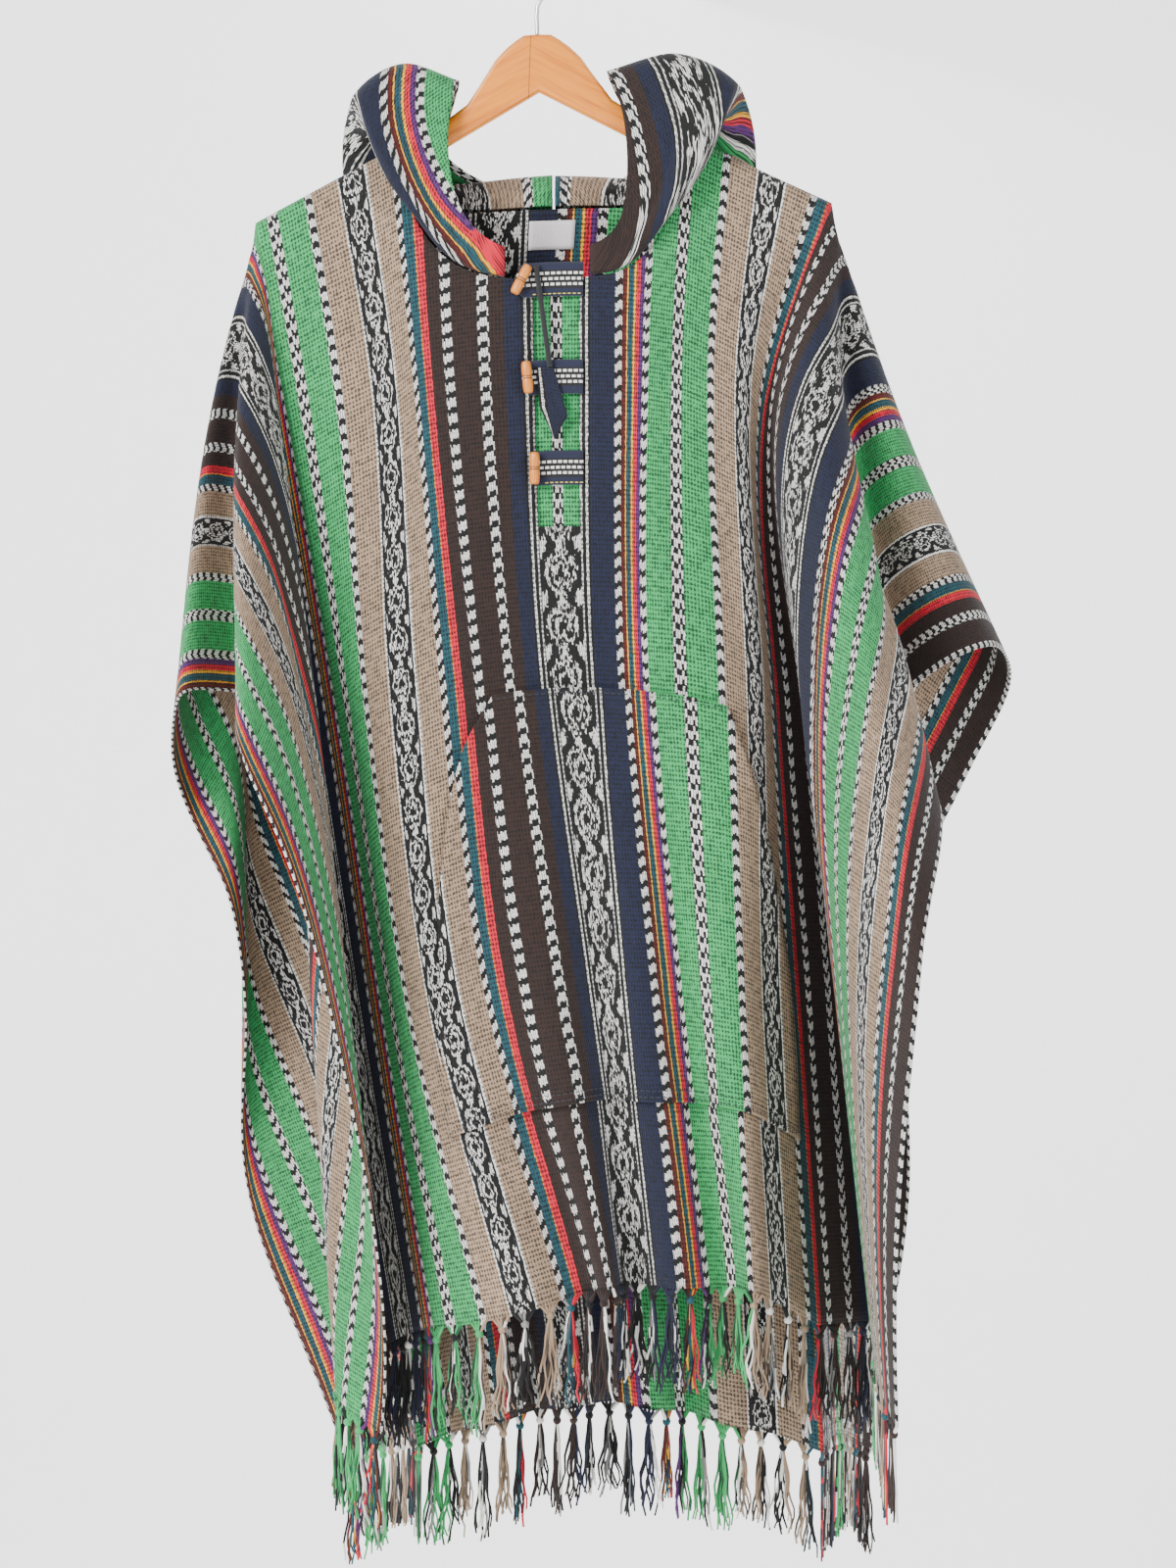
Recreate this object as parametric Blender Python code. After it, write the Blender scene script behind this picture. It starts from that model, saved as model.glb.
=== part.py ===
"""A striped, hooded poncho that hangs on a wooden hanger.

Metres, +Z up, +X to the viewer's right; the front of the garment faces -Y. The origin is
the point where the hook rests on its rail.

The body is one length of cloth folded over the shoulders. Each point of it has two cloth
coordinates: across (0 at the centre front, positive to the right) and along (0 on the
shoulder fold, growing towards the hem, negative behind the fold). Between the ends of the
hanger the cloth hangs as a panel from the wooden arms. Beyond them it hangs as a fan, a
folded cone whose tip is the end of the arm, and the fan tables give its folds.
"""

import math
from typing import Callable, NamedTuple, Sequence

import bmesh
import bpy
from mathutils import Matrix, Vector

# Driving sizes of the cloth.
WALL = 0.002
SEAM_GAP = 0.0003
FOLD_GAP = 0.0006
HALF_WIDTH = 0.615
NECK_HALF = 0.112
ARM_HALF = 0.232
FRONT_LENGTH = 0.905
BACK_LENGTH = 1.02

# Points this close together become one.
MERGE_REACH = 0.00002

# The hanger, in its own upright frame under the hook.
HANGER_TILT = math.radians(2.0)
ARM_THICKNESS = 0.011
ARM_DOME = 0.0005
ARM_TIP_REACH = 0.006
ARM_STATIONS = (
    0.0, 0.011, 0.018, 0.026, 0.035, 0.047, 0.059, 0.0864, 0.112, 0.1376, 0.1736, 0.2096, 0.2196,
)
ROUND_STEPS = 6
TIP_STEPS = 4
CROWN_TOP = -0.0752
APEX_UNDER = -0.1232
NECK_X = 0.118
ARM_END_X = 0.2256
ARM_END_TOP = -0.2192
ARM_END_UNDER = -0.2440
HOOK_WIRE = 0.0018
HOOK_RADIUS = 0.0210
HOOK_START = math.radians(205)
HOOK_SWEEP = math.radians(235)
HOOK_STEPS = 18
HOOK_STEM = ((0.0125, -0.0395), (0.0055, -0.0450), (0.0010, -0.0520), (0.0, -0.0600))

# The shoulder fold: the cloth's middle line runs over the arm on a rounded ridge.
RIDGE_RADIUS = 0.0085
RIDGE_LIFT = 0.0018
FAN_TIP_REACH = 0.009
QUARTER = RIDGE_RADIUS * math.pi / 2
RIDGE_STEPS = 4

# A fan's folds are evened out over this much cloth to each side, so none is sharper.
BEND_REACH = 0.018
BEND_SAMPLES = 5

# The neck opening and the slit below it.
NECK_SHIFT = 0.0136
NECK_RISE = 0.012
SLIT_HALF = 0.0184
SLIT_SHARE = 0.352

# The grid of the body: steps across from the slit to the neck's corner, to the arm's end
# and to the selvedge, and steps down.
NECK_COLUMNS = 5
FRONT_ARM_COLUMNS = 5
BACK_ARM_COLUMNS = 4
FAN_COLUMNS = 12
SLIT_ROWS = 8
ABOVE_POCKET_ROWS = 3
POCKET_ROWS = 8
BELOW_POCKET_ROWS = 4
BACK_ROWS = 20
BACK_NECK_ROWS = 5

# The hood, two halves that meet at the centre back.
HOOD_SPREAD_LEFT = 1.0
HOOD_SPREAD_RIGHT = 1.25
HOOD_LIFT = 0.0026
HOOD_INSET = 0.0045
HOOD_THROAT_LEFT = 0.038
HOOD_THROAT_RIGHT = 0.0262
HOOD_SEAM_HALF_GAP = 0.0010
HOOD_STAND = 0.0038
HOOD_STAND_RATE = 3.0
RIDGE_SHARE = 0.06

# The kangaroo pocket.
POCKET_TOP_SHARE = 0.490
POCKET_FOOT_SHARE = 0.842
POCKET_LIFT = WALL + 0.0020

# The placket: the strip behind the slit, the straps, the toggles and the cord.
UNDERLAY_HALF = 0.031
UNDERLAY_TOP = 0.145
UNDERLAY_OVERLAP = 0.012
STRAP_RIGHT = 0.0215
STRAP_HALF_HEIGHT = 0.0125
STRAP_LIFT = WALL + 0.0006
TOGGLE_LENGTH = 0.026
TOGGLE_RADIUS = 0.0042
TOGGLE_REST = 0.0008
TOGGLE_INSET = 0.004
STRAP_DROP = 0.91
STRAP_ROUND = 0.7
STRAP_SQUARE = 0.8
CORD_DIAMETER = 0.0044
CORD_START = (-0.016, 0.128)
CORD_END = (-0.006, 0.2155)
CORD_POINTS = 10
TAB_TOP = 0.216
TAB_CORNERS = ((-0.0165, 0.0), (-0.0030, 0.0), (0.0085, 0.038), (-0.0030, 0.056), (-0.0150, 0.030))

# The label on the inside of the back neck.
LABEL_SIZE = (0.037, 0.023)
LABEL_DROP = 0.009
LABEL_THICKNESS = 0.0006

# The fringes.
STRIP_GAP = 0.0006
STRIP_HEIGHT = 0.005
TASSEL_LENGTH = 0.092
TASSEL_LEAST_CELL = 0.014
TASSEL_WIDTH = 0.0046
TASSEL_SWAY = 0.0015
TASSEL_UNEVEN = 0.10
KNOT_DROP = 0.011
BELLY_WIDTH = 1.10
TIP_WIDTH = 0.80

Surface = Callable[[float, float], Vector]


class ArmStation(NamedTuple):
    """Height of the arm's top edge at one distance from the middle."""

    x: float
    top: float


ARM_TOP = (
    ArmStation(0.0000, CROWN_TOP),
    ArmStation(0.0110, -0.0756),
    ArmStation(0.0350, -0.0952),
    ArmStation(0.0590, -0.1304),
    ArmStation(0.0864, -0.1496),
    ArmStation(0.1376, -0.1752),
    ArmStation(0.2096, -0.2112),
    ArmStation(ARM_END_X, ARM_END_TOP),
)


class NeckCurve(NamedTuple):
    """How far the neck edge drops below the shoulders, and how square its curve is."""

    drop: float
    power: float


FRONT_NECK = NeckCurve(0.112, 3.0)
BACK_NECK = NeckCurve(0.054, 4.0)


class PanelLine(NamedTuple):
    """One line down the panel: where it runs and how far forward or back, in millimetres.

    The four stations are the chest, the waist, the hip and the hem; the depth has the top
    edge before them. A negative depth is towards the viewer.
    """

    across: float
    x: tuple[float, float, float, float]
    depth: tuple[float, float, float, float, float]
    hem: float


STATIONS = (0.0, 0.20, 0.46, 0.73, 1.0)

FRONT_LINES = (
    PanelLine(-232, (-194, -155, -118, -78), (-9, -12, -4, -2, -8), -1131),
    PanelLine(-190, (-158, -136, -101, -41), (-9, -20, -28, -36, -42), -1122),
    PanelLine(-152, (-120, -105, -76, -8), (-9, -26, -42, -55, -60), -1113),
    PanelLine(-102, (-86, -62, -32, 36), (-11, -36, -44, -50, -44), -1100),
    PanelLine(-56, (-41, -22, 12, 62), (-14, -38, -46, -58, -74), -1094),
    PanelLine(-28, (-10, 2, 34, 71), (-16, -37, -43, -47, -52), -1092),
    PanelLine(0, (19, 25, 54, 84), (-17, -37, -43, -40, -36), -1091),
    PanelLine(50, (66, 68, 88, 116), (-15, -37, -43, -56, -66), -1093),
    PanelLine(100, (102, 102, 122, 150), (-11, -34, -45, -42, -36), -1094),
    PanelLine(145, (142, 150, 160, 174), (-9, -28, -44, -60, -68), -1096),
    PanelLine(183, (170, 180, 184, 198), (-9, -24, -34, -42, -44), -1107),
    PanelLine(232, (186, 198, 216, 232), (-9, -8, -2, 2, 0), -1129),
)

BACK_LINES = (
    PanelLine(-232, (-206, -172, -130, -96), (9, 22, 38, 52, 62), -1236),
    PanelLine(-186, (-170, -144, -104, -66), (9, 26, 46, 66, 80), -1226),
    PanelLine(-140, (-126, -108, -72, -34), (9, 20, 30, 36, 38), -1216),
    PanelLine(-93, (-82, -72, -40, 0), (10, 22, 44, 64, 80), -1208),
    PanelLine(-46, (-36, -30, -4, 30), (11, 20, 28, 34, 36), -1202),
    PanelLine(0, (10, 14, 34, 62), (12, 22, 42, 62, 76), -1200),
    PanelLine(46, (54, 58, 72, 96), (11, 20, 28, 34, 38), -1203),
    PanelLine(93, (98, 100, 110, 128), (10, 22, 44, 64, 78), -1209),
    PanelLine(140, (142, 142, 148, 162), (9, 20, 30, 38, 42), -1218),
    PanelLine(186, (182, 184, 188, 200), (9, 26, 46, 66, 80), -1228),
    PanelLine(232, (212, 216, 226, 238), (9, 24, 38, 48, 56), -1240),
)


class FanFold(NamedTuple):
    """One fold line of a fan, a ray from the end of the arm.

    cloth is its angle in the flat cloth, 0 on the shoulder fold, positive in front and
    negative behind. swing is its angle away from the hanger and depth its angle to the back.
    """

    cloth: float
    swing: float
    depth: float


LEFT_FOLDS = (
    FanFold(-90, -7.0, 4.0),
    FanFold(-79, -6.5, 11.0),
    FanFold(-70, -3.4, 15.0),
    FanFold(-63, 2.0, 16.0),
    FanFold(-55, 1.8, 12.5),
    FanFold(-47, 3.0, 9.5),
    FanFold(-40, 6.8, 9.5),
    FanFold(-32, 9.0, 5.0),
    FanFold(-22, 9.2, -2.0),
    FanFold(-12, 8.0, -8.0),
    FanFold(-4, 4.6, -4.5),
    FanFold(3, 1.0, -1.0),
    FanFold(11, -2.0, -5.0),
    FanFold(22, 1.0, -14.0),
    FanFold(34, 0.4, -19.8),
    FanFold(45, -3.6, -15.5),
    FanFold(54, -5.6, -9.5),
    FanFold(65, -6.4, -3.0),
    FanFold(72, -3.4, -0.5),
    FanFold(80, -6.0, 2.2),
    FanFold(90, -9.0, -1.0),
)

RIGHT_FOLDS = (
    FanFold(-90, -1.0, 4.0),
    FanFold(-79, 0.0, 11.0),
    FanFold(-70, 1.6, 16.0),
    FanFold(-64, 5.2, 16.5),
    FanFold(-55, 6.4, 12.5),
    FanFold(-47, 9.0, 11.0),
    FanFold(-40, 14.5, 13.5),
    FanFold(-29, 21.0, 12.0),
    FanFold(-16, 21.8, 5.0),
    FanFold(-3, 19.8, -2.0),
    FanFold(9, 14.0, -2.0),
    FanFold(20, 9.0, 3.0),
    FanFold(30, 7.4, -4.0),
    FanFold(42, 10.5, -13.5),
    FanFold(54, 6.5, -18.0),
    FanFold(65, 2.6, -10.5),
    FanFold(76, 1.8, -1.5),
    FanFold(83, 2.8, 4.0),
    FanFold(90, -1.0, 0.5),
)

# How far the fold lines bow away from the hanger close to it, and where that ends.
LEFT_BOW = 7.0
RIGHT_BOW = -6.0
BOW_REACH = 0.45
BOW_CLOTH = 75.0


class HoodSection(NamedTuple):
    """One section of a hood half, from the neck seam to the face edge, in millimetres.

    Each pair is (outwards from the seam, up): the rise from the seam, the crest of the
    lower layer, the two sides of the turn at the bottom, the upper layer and the face edge.
    """

    share: float
    rise: tuple[float, float]
    crest: tuple[float, float]
    turn_in: tuple[float, float]
    turn_out: tuple[float, float]
    upper: tuple[float, float]
    edge: tuple[float, float]


HOOD_SECTIONS = (
    HoodSection(0.00, (-2, 6), (-3, 9), (-3, 12), (-4, 15), (-6, 20), (-9, 25)),
    HoodSection(0.18, (0, 7), (3, 12), (3, 18), (0, 27), (-10, 36), (-26, 42)),
    HoodSection(0.36, (2, 7), (9, 11), (18, 17), (22, 36), (2, 54), (-40, 52)),
    HoodSection(0.50, (3, 8), (13, 12), (28, 18), (34, 42), (-6, 68), (-52, 54)),
    HoodSection(0.64, (2, 10), (15, 14), (38, -24), (54, -8), (18, 62), (-40, 54)),
    HoodSection(0.80, (1, 14), (18, 18), (42, -150), (60, -152), (58, 10), (6, 42)),
    HoodSection(0.91, (1, 16), (20, 20), (42, -212), (62, -214), (68, -40), (30, 24)),
    HoodSection(1.00, (1, 17), (20, 21), (42, -230), (62, -232), (70, -60), (40, 14)),
)
HOOD_STATIONS = (0.0, 0.07, 0.15, 0.42, 0.52, 0.78, 1.0)
HOOD_SHARES = (
    0.0, 0.07, 0.15, 0.23, 0.31, 0.385, 0.44, 0.47, 0.50, 0.53, 0.56, 0.62, 0.69, 0.76, 0.84, 0.92, 1.0,
)
HOOD_LAYERS = (0.0, 0.035, 0.07, 0.11, 0.17, 0.28, 0.38, 0.43, 0.47, 0.51, 0.58, 0.68, 0.79, 0.90, 1.0)


class PocketStation(NamedTuple):
    """The pocket's two edges, in cloth metres across, at one share of its height."""

    share: float
    left: float
    right: float


POCKET_EDGES = (
    PocketStation(0.00, -0.072, 0.150),
    PocketStation(0.14, -0.108, 0.172),
    PocketStation(0.45, -0.138, 0.206),
    PocketStation(0.62, -0.146, 0.216),
    PocketStation(1.00, -0.172, 0.218),
)


class Strap(NamedTuple):
    """One toggle strap: its share down the front, its left end and how its toggle leans."""

    share: float
    left: float
    lean: float


STRAPS = (
    Strap(0.140, -0.031, math.radians(-24)),
    Strap(0.224, -0.028, math.radians(4)),
    Strap(0.302, -0.024, math.radians(0)),
)


def clear_scene() -> None:
    """Remove what the startup file holds."""
    for old in list(bpy.data.objects):
        bpy.data.objects.remove(old)


def through(knots: Sequence[float], values: Sequence, at: float):
    """Read a smooth curve through the knots, held straight beyond its ends."""
    last = len(knots) - 2
    i = 0
    while i < last and at > knots[i + 1]:
        i += 1

    def slope(k: int):
        before, after = max(k - 1, 0), min(k + 1, len(knots) - 1)
        return (values[after] - values[before]) / (knots[after] - knots[before])

    gap = knots[i + 1] - knots[i]
    t = (at - knots[i]) / gap
    if t < 0:
        return values[i] + slope(i) * (at - knots[i])
    if t > 1:
        return values[i + 1] + slope(i + 1) * (at - knots[i + 1])
    rise = values[i + 1] - values[i]
    first, second = slope(i) * gap, slope(i + 1) * gap
    squared = 3 * rise - 2 * first - second
    cubed = first + second - 2 * rise
    return values[i] + first * t + squared * t * t + cubed * t**3


def eased(t: float) -> float:
    """Go smoothly from 0 to 1."""
    t = min(max(t, 0.0), 1.0)
    return t * t * (3 - 2 * t)


def tilted(x: float, z: float) -> Vector:
    """Turn a point of the hanger's own frame about the hook."""
    return Matrix.Rotation(-HANGER_TILT, 3, "Y") @ Vector((x, 0.0, z))


def arm_top(x: float) -> float:
    """Height of the arm's top edge in the hanger's own frame."""
    return through([s.x for s in ARM_TOP], [s.top for s in ARM_TOP], abs(x))


def shoulder_point(across: float) -> Vector:
    """The middle line of the cloth on the shoulder fold, for |across| from the neck out."""
    share = (abs(across) - NECK_HALF) / (ARM_HALF - NECK_HALF)
    x = NECK_X + share * (ARM_END_X + FAN_TIP_REACH - NECK_X)
    return tilted(math.copysign(x, across), arm_top(x) + RIDGE_LIFT)


def top_point(across: float) -> Vector:
    """Where the shoulder fold is, or would be across the neck opening."""
    if abs(across) >= NECK_HALF:
        return shoulder_point(across)
    left, right = shoulder_point(-NECK_HALF), shoulder_point(NECK_HALF)
    share = across / NECK_HALF
    point = left.lerp(right, (share + 1) / 2)
    point.x += NECK_SHIFT * (1 - share * share)
    point.z += NECK_RISE * (1 - share * share)
    return point


def neck_share(across: float, curve: NeckCurve, length: float) -> float:
    """Share of the length at which the neck edge crosses a line of the cloth."""
    depth = curve.drop * math.sqrt(max(0.0, 1 - abs(across / NECK_HALF) ** curve.power))
    return (QUARTER + depth) / length


def panel_point(lines: Sequence[PanelLine], across: float, along: float, length: float) -> Vector:
    """A point of the cloth between the ends of the hanger; along is never negative here."""
    share = along / length
    top = top_point(across)
    where = [line.across / 1000 for line in lines]
    hem = through(where, [line.hem / 1000 for line in lines], across)
    x_stations = [top.x]
    for k in range(4):
        x_stations.append(through(where, [line.x[k] / 1000 for line in lines], across))
    depths = [through(where, [line.depth[k] / 1000 for line in lines], across) for k in range(5)]
    x = through(STATIONS, x_stations, share)
    depth = through(STATIONS, depths, share)
    turn = min(along / RIDGE_RADIUS, math.pi / 2)
    shoulder = top.z - RIDGE_RADIUS * (1 - math.cos(turn))
    below = max(along - QUARTER, 0.0) / (length - QUARTER)
    return Vector((x, depth * math.sin(turn), shoulder + below * (hem - top.z + RIDGE_RADIUS)))


def fan_direction(folds: Sequence[FanFold], side: int, cloth: float, reach: float) -> Vector:
    """Direction of one ray of the fan, evened out over a little cloth to each side."""
    knots = [fold.cloth for fold in folds]
    swings = [fold.swing for fold in folds]
    depths = [fold.depth for fold in folds]
    bow = (RIGHT_BOW if side > 0 else LEFT_BOW) * (1 - eased(reach / BOW_REACH))
    window = math.degrees(BEND_REACH / max(reach, BEND_REACH))
    total = Vector()
    for k in range(BEND_SAMPLES):
        at = min(max(cloth + window * (2 * k / (BEND_SAMPLES - 1) - 1), -90.0), 90.0)
        swing = math.radians(through(knots, swings, at) + bow * eased(1 - abs(at) / BOW_CLOTH))
        depth = math.radians(through(knots, depths, at))
        level = math.cos(depth)
        total += Vector((side * math.sin(swing) * level, math.sin(depth), -math.cos(swing) * level))
    return total / BEND_SAMPLES


def fan_point(lines: Sequence[PanelLine], across: float, along: float, length: float) -> Vector:
    """A point of the cloth beyond the end of the hanger."""
    side = 1 if across > 0 else -1
    folds = RIGHT_FOLDS if side > 0 else LEFT_FOLDS
    tip = shoulder_point(side * ARM_HALF)
    behind = -1 if lines is BACK_LINES else 1
    out = abs(across) - ARM_HALF
    reach = math.hypot(out, along)
    cloth = behind * math.degrees(math.atan2(along, out))
    point = tip + reach * fan_direction(folds, side, cloth, reach)
    seam = panel_point(lines, side * ARM_HALF, reach, length)
    straight = tip + reach * fan_direction(folds, side, behind * 90.0, reach)
    return point + eased((abs(cloth) - 15) / 75) * (seam - straight)


def cloth_point(lines: Sequence[PanelLine], across: float, along: float, length: float) -> Vector:
    """A point of the poncho's cloth, in front or behind."""
    if abs(across) <= ARM_HALF:
        return panel_point(lines, across, along, length)
    return fan_point(lines, across, along, length)


def front_point(across: float, share: float) -> Vector:
    """A point of the front, at a share of its length."""
    return cloth_point(FRONT_LINES, across, share * FRONT_LENGTH, FRONT_LENGTH)


def back_point(across: float, share: float) -> Vector:
    """A point of the back, at a share of its length."""
    return cloth_point(BACK_LINES, across, share * BACK_LENGTH, BACK_LENGTH)


def normal_of(surface: Surface, across: float, share: float) -> Vector:
    """Unit normal that points to the viewer on the front."""
    aside, along = 0.001, 0.0001
    side = surface(across + aside, share) - surface(across - aside, share)
    down = surface(across, share + along) - surface(across, max(share - along, 0.0))
    return down.cross(side).normalized()


def spaced(start: float, end: float, count: int) -> list[float]:
    """count equal steps, without the start value."""
    return [start + (end - start) * (k + 1) / count for k in range(count)]


def material(name: str, colour: tuple[float, float, float], roughness: float, metallic: float = 0.0):
    """A plain surface material."""
    made = bpy.data.materials.new(name)
    made.use_nodes = True
    shader = made.node_tree.nodes["Principled BSDF"]
    shader.inputs["Base Color"].default_value = (*colour, 1.0)
    shader.inputs["Roughness"].default_value = roughness
    shader.inputs["Metallic"].default_value = metallic
    return made


def add_object(name: str, mesh: bmesh.types.BMesh, look) -> bpy.types.Object:
    """Make an object from a bmesh, with its faces pointing out."""
    bmesh.ops.recalc_face_normals(mesh, faces=mesh.faces)
    data = bpy.data.meshes.new(name)
    mesh.to_mesh(data)
    mesh.free()
    data.materials.append(look)
    made = bpy.data.objects.new(name, data)
    bpy.context.scene.collection.objects.link(made)
    return made


def wall(
    name: str,
    surface: Surface,
    rows: Sequence[Sequence[tuple[float, float]]],
    look,
    skip: Callable[[int, int], bool] | None = None,
    thickness: float = WALL,
    lift: float = 0.0,
    facing: float = 1.0,
) -> bpy.types.Object:
    """A cloth wall: one side, the other side and the rim round every open edge.

    Args:
        name: the object's name.
        surface: the surface that the wall lies on.
        rows: cloth coordinates of the grid, each row the same length.
        look: its material.
        skip: a test of (row, column) for a cell that is left open.
        thickness: the wall.
        lift: how far its middle is moved off the surface, towards the viewer on the front.
        facing: -1 where the garment's outside is the far side.
    """
    mesh = bmesh.new()
    places = [[surface(u, s) for u, s in row] for row in rows]
    ups = [[grid_normal(places, r, c) for c in range(len(rows[0]))] for r in range(len(rows))]
    ups[0] = [normal_of(surface, u, s) for u, s in rows[0]]
    for line, normals in zip(places, ups):
        for c in range(1, len(line)):
            if (line[c] - line[c - 1]).length < MERGE_REACH:
                normals[c] = normals[c - 1]

    def moved(distance: float):
        step = distance * facing
        return [[mesh.verts.new(p + n * step) for p, n in zip(*pair)] for pair in zip(places, ups)]

    outers, inners = moved(lift + thickness / 2), moved(lift - thickness / 2)
    cells = {
        (r, c)
        for r in range(len(rows) - 1)
        for c in range(len(rows[0]) - 1)
        if not (skip and skip(r, c))
    }
    for r, c in cells:
        corners = ((r, c), (r + 1, c), (r + 1, c + 1), (r, c + 1))
        outer = [outers[i][j] for i, j in corners]
        inner = [inners[i][j] for i, j in corners]
        for first, second, third in split_of([places[i][j] for i, j in corners]):
            mesh.faces.new((outer[first], outer[second], outer[third]))
            mesh.faces.new((inner[third], inner[second], inner[first]))
        neighbours = ((r, c - 1), (r + 1, c), (r, c + 1), (r - 1, c))
        for k, beside in enumerate(neighbours):
            if beside not in cells:
                after = (k + 1) % 4
                mesh.faces.new((outer[after], outer[k], inner[k], inner[after]))
    loose = [v for v in mesh.verts if not v.link_faces]
    bmesh.ops.delete(mesh, geom=loose, context="VERTS")
    bmesh.ops.remove_doubles(mesh, verts=mesh.verts, dist=MERGE_REACH)
    made = add_object(name, mesh, look)
    made.data.shade_smooth()
    return made


def run_through(line: Sequence[Vector], k: int) -> Vector:
    """Direction of a line of points at one of them, halfway between the runs beside it."""
    total = Vector()
    for step in (-1, 1):
        beside = k + step
        while 0 <= beside < len(line) and (line[beside] - line[k]).length < MERGE_REACH:
            beside += step
        if 0 <= beside < len(line):
            total += (line[beside] - line[k]).normalized() * step
    return total


def grid_normal(places: Sequence[Sequence[Vector]], r: int, c: int) -> Vector:
    """Unit normal of a grid of points, towards the viewer on the front."""
    down = run_through([row[c] for row in places], r)
    return down.cross(run_through(places[r], c)).normalized()


def split_of(corners: Sequence[Vector]) -> tuple[tuple[int, int, int], tuple[int, int, int]]:
    """How a cell becomes two triangles, on its shorter diagonal, the same on both its sides."""
    if (corners[0] - corners[2]).length < (corners[1] - corners[3]).length:
        return (0, 1, 2), (0, 2, 3)
    return (0, 1, 3), (1, 2, 3)


def on_surface(surface: Surface, across: float, share: float, lift: float) -> Vector:
    """A point lifted off a cloth surface along its normal."""
    return surface(across, share) + normal_of(surface, across, share) * lift


def body_columns(arm_steps: int) -> list[float]:
    """Across values from selvedge to selvedge, closer towards the neck's corners."""
    first = math.asin(SLIT_HALF / NECK_HALF)
    half = [0.0, SLIT_HALF]
    half += [NECK_HALF * math.sin(angle) for angle in spaced(first, math.pi / 2, NECK_COLUMNS)]
    half += spaced(NECK_HALF, ARM_HALF, arm_steps)
    half += spaced(ARM_HALF, HALF_WIDTH, FAN_COLUMNS)
    return [-u for u in reversed(half[1:])] + half


def front_columns() -> list[float]:
    """Across values of the front's grid."""
    return body_columns(FRONT_ARM_COLUMNS)


def back_columns() -> list[float]:
    """Across values of the back's grid."""
    return body_columns(BACK_ARM_COLUMNS)


def front_shares() -> list[float]:
    """Shares of the length at the rows of the front's grid."""
    shares = ridge_shares(FRONT_LENGTH)
    shares += spaced(shares[-1], SLIT_SHARE, SLIT_ROWS)
    shares += spaced(SLIT_SHARE, POCKET_TOP_SHARE, ABOVE_POCKET_ROWS)
    shares += spaced(POCKET_TOP_SHARE, POCKET_FOOT_SHARE, POCKET_ROWS)
    return shares + spaced(POCKET_FOOT_SHARE, 1.0, BELOW_POCKET_ROWS)


def on_columns(surface: Surface, columns: Sequence[float]) -> Surface:
    """The surface as its grid has it, straight from column to column."""
    def chord(across: float, share: float) -> Vector:
        c = 1
        while c < len(columns) - 1 and across > columns[c]:
            c += 1
        left, right = columns[c - 1], columns[c]
        return surface(left, share).lerp(surface(right, share), (across - left) / (right - left))
    return chord


def grid(columns: Sequence[float], shares: Sequence[float]) -> list[list[tuple[float, float]]]:
    """Cloth coordinates of a plain grid."""
    return [[(u, s) for u in columns] for s in shares]


def ridge_shares(length: float) -> list[float]:
    """Rows over the rounded shoulder ridge."""
    start, steps = FOLD_GAP / 2, range(RIDGE_STEPS + 1)
    return [(start + (QUARTER - start) * k / RIDGE_STEPS) / length for k in steps]


def inside_neck(columns: Sequence[float], row: int, column: int) -> bool:
    """Whether a cell of the ridge lies in the neck opening."""
    middle = (columns[column] + columns[column + 1]) / 2
    return abs(middle) < NECK_HALF and row < RIDGE_STEPS


def below_neck(
    columns: Sequence[float], shares: Sequence[float], curve: NeckCurve, length: float, last: int
) -> list[list[tuple[float, float]]]:
    """Grid rows whose neck columns start on the neck edge and are even again at row last."""
    rows = grid(columns, shares)
    for c, u in enumerate(columns):
        if abs(u) >= NECK_HALF:
            continue
        start = neck_share(u, curve, length)
        for r in range(RIDGE_STEPS, last):
            t = (r - RIDGE_STEPS) / (last - RIDGE_STEPS)
            rows[r][c] = (u, start + t * (shares[last] - start))
    return rows


def build_front(look) -> None:
    """The front, with the neck cut out and the slit open."""
    columns = front_columns()
    slit_row = RIDGE_STEPS + SLIT_ROWS

    def is_open(r: int, c: int) -> bool:
        middle = (columns[c] + columns[c + 1]) / 2
        return inside_neck(columns, r, c) or (abs(middle) < SLIT_HALF and r < slit_row)

    rows = below_neck(columns, front_shares(), FRONT_NECK, FRONT_LENGTH, slit_row)
    wall("front", front_point, rows, look, is_open)


def build_back(look) -> None:
    """The back, which wraps forward at the left sleeve."""
    columns = back_columns()
    shares = ridge_shares(BACK_LENGTH)
    shares += spaced(shares[-1], 1.0, BACK_ROWS)
    rows = below_neck(columns, shares, BACK_NECK, BACK_LENGTH, RIDGE_STEPS + BACK_NECK_ROWS)
    wall("back", back_point, rows, look, lambda r, c: inside_neck(columns, r, c), facing=-1.0)


def front_cloth() -> Surface:
    """The front as its grid has it, for the pieces that lie on it."""
    return on_columns(front_point, front_columns())


def on_front(across: float, share: float, lift: float) -> Vector:
    """A point lifted off the front."""
    return on_surface(front_cloth(), across, share, lift)


def build_pocket(look) -> None:
    """The kangaroo pocket, made from the front's own columns and rows moved out."""
    knots = [edge.share for edge in POCKET_EDGES]
    shares = [POCKET_TOP_SHARE] + spaced(POCKET_TOP_SHARE, POCKET_FOOT_SHARE, POCKET_ROWS)
    rows = []
    for share in shares:
        t = (share - POCKET_TOP_SHARE) / (POCKET_FOOT_SHARE - POCKET_TOP_SHARE)
        left = through(knots, [edge.left for edge in POCKET_EDGES], t)
        right = through(knots, [edge.right for edge in POCKET_EDGES], t)
        rows.append([(min(max(u, left), right), share) for u in pocket_columns()])
    wall("pocket", front_cloth(), rows, look, lift=POCKET_LIFT)


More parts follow.
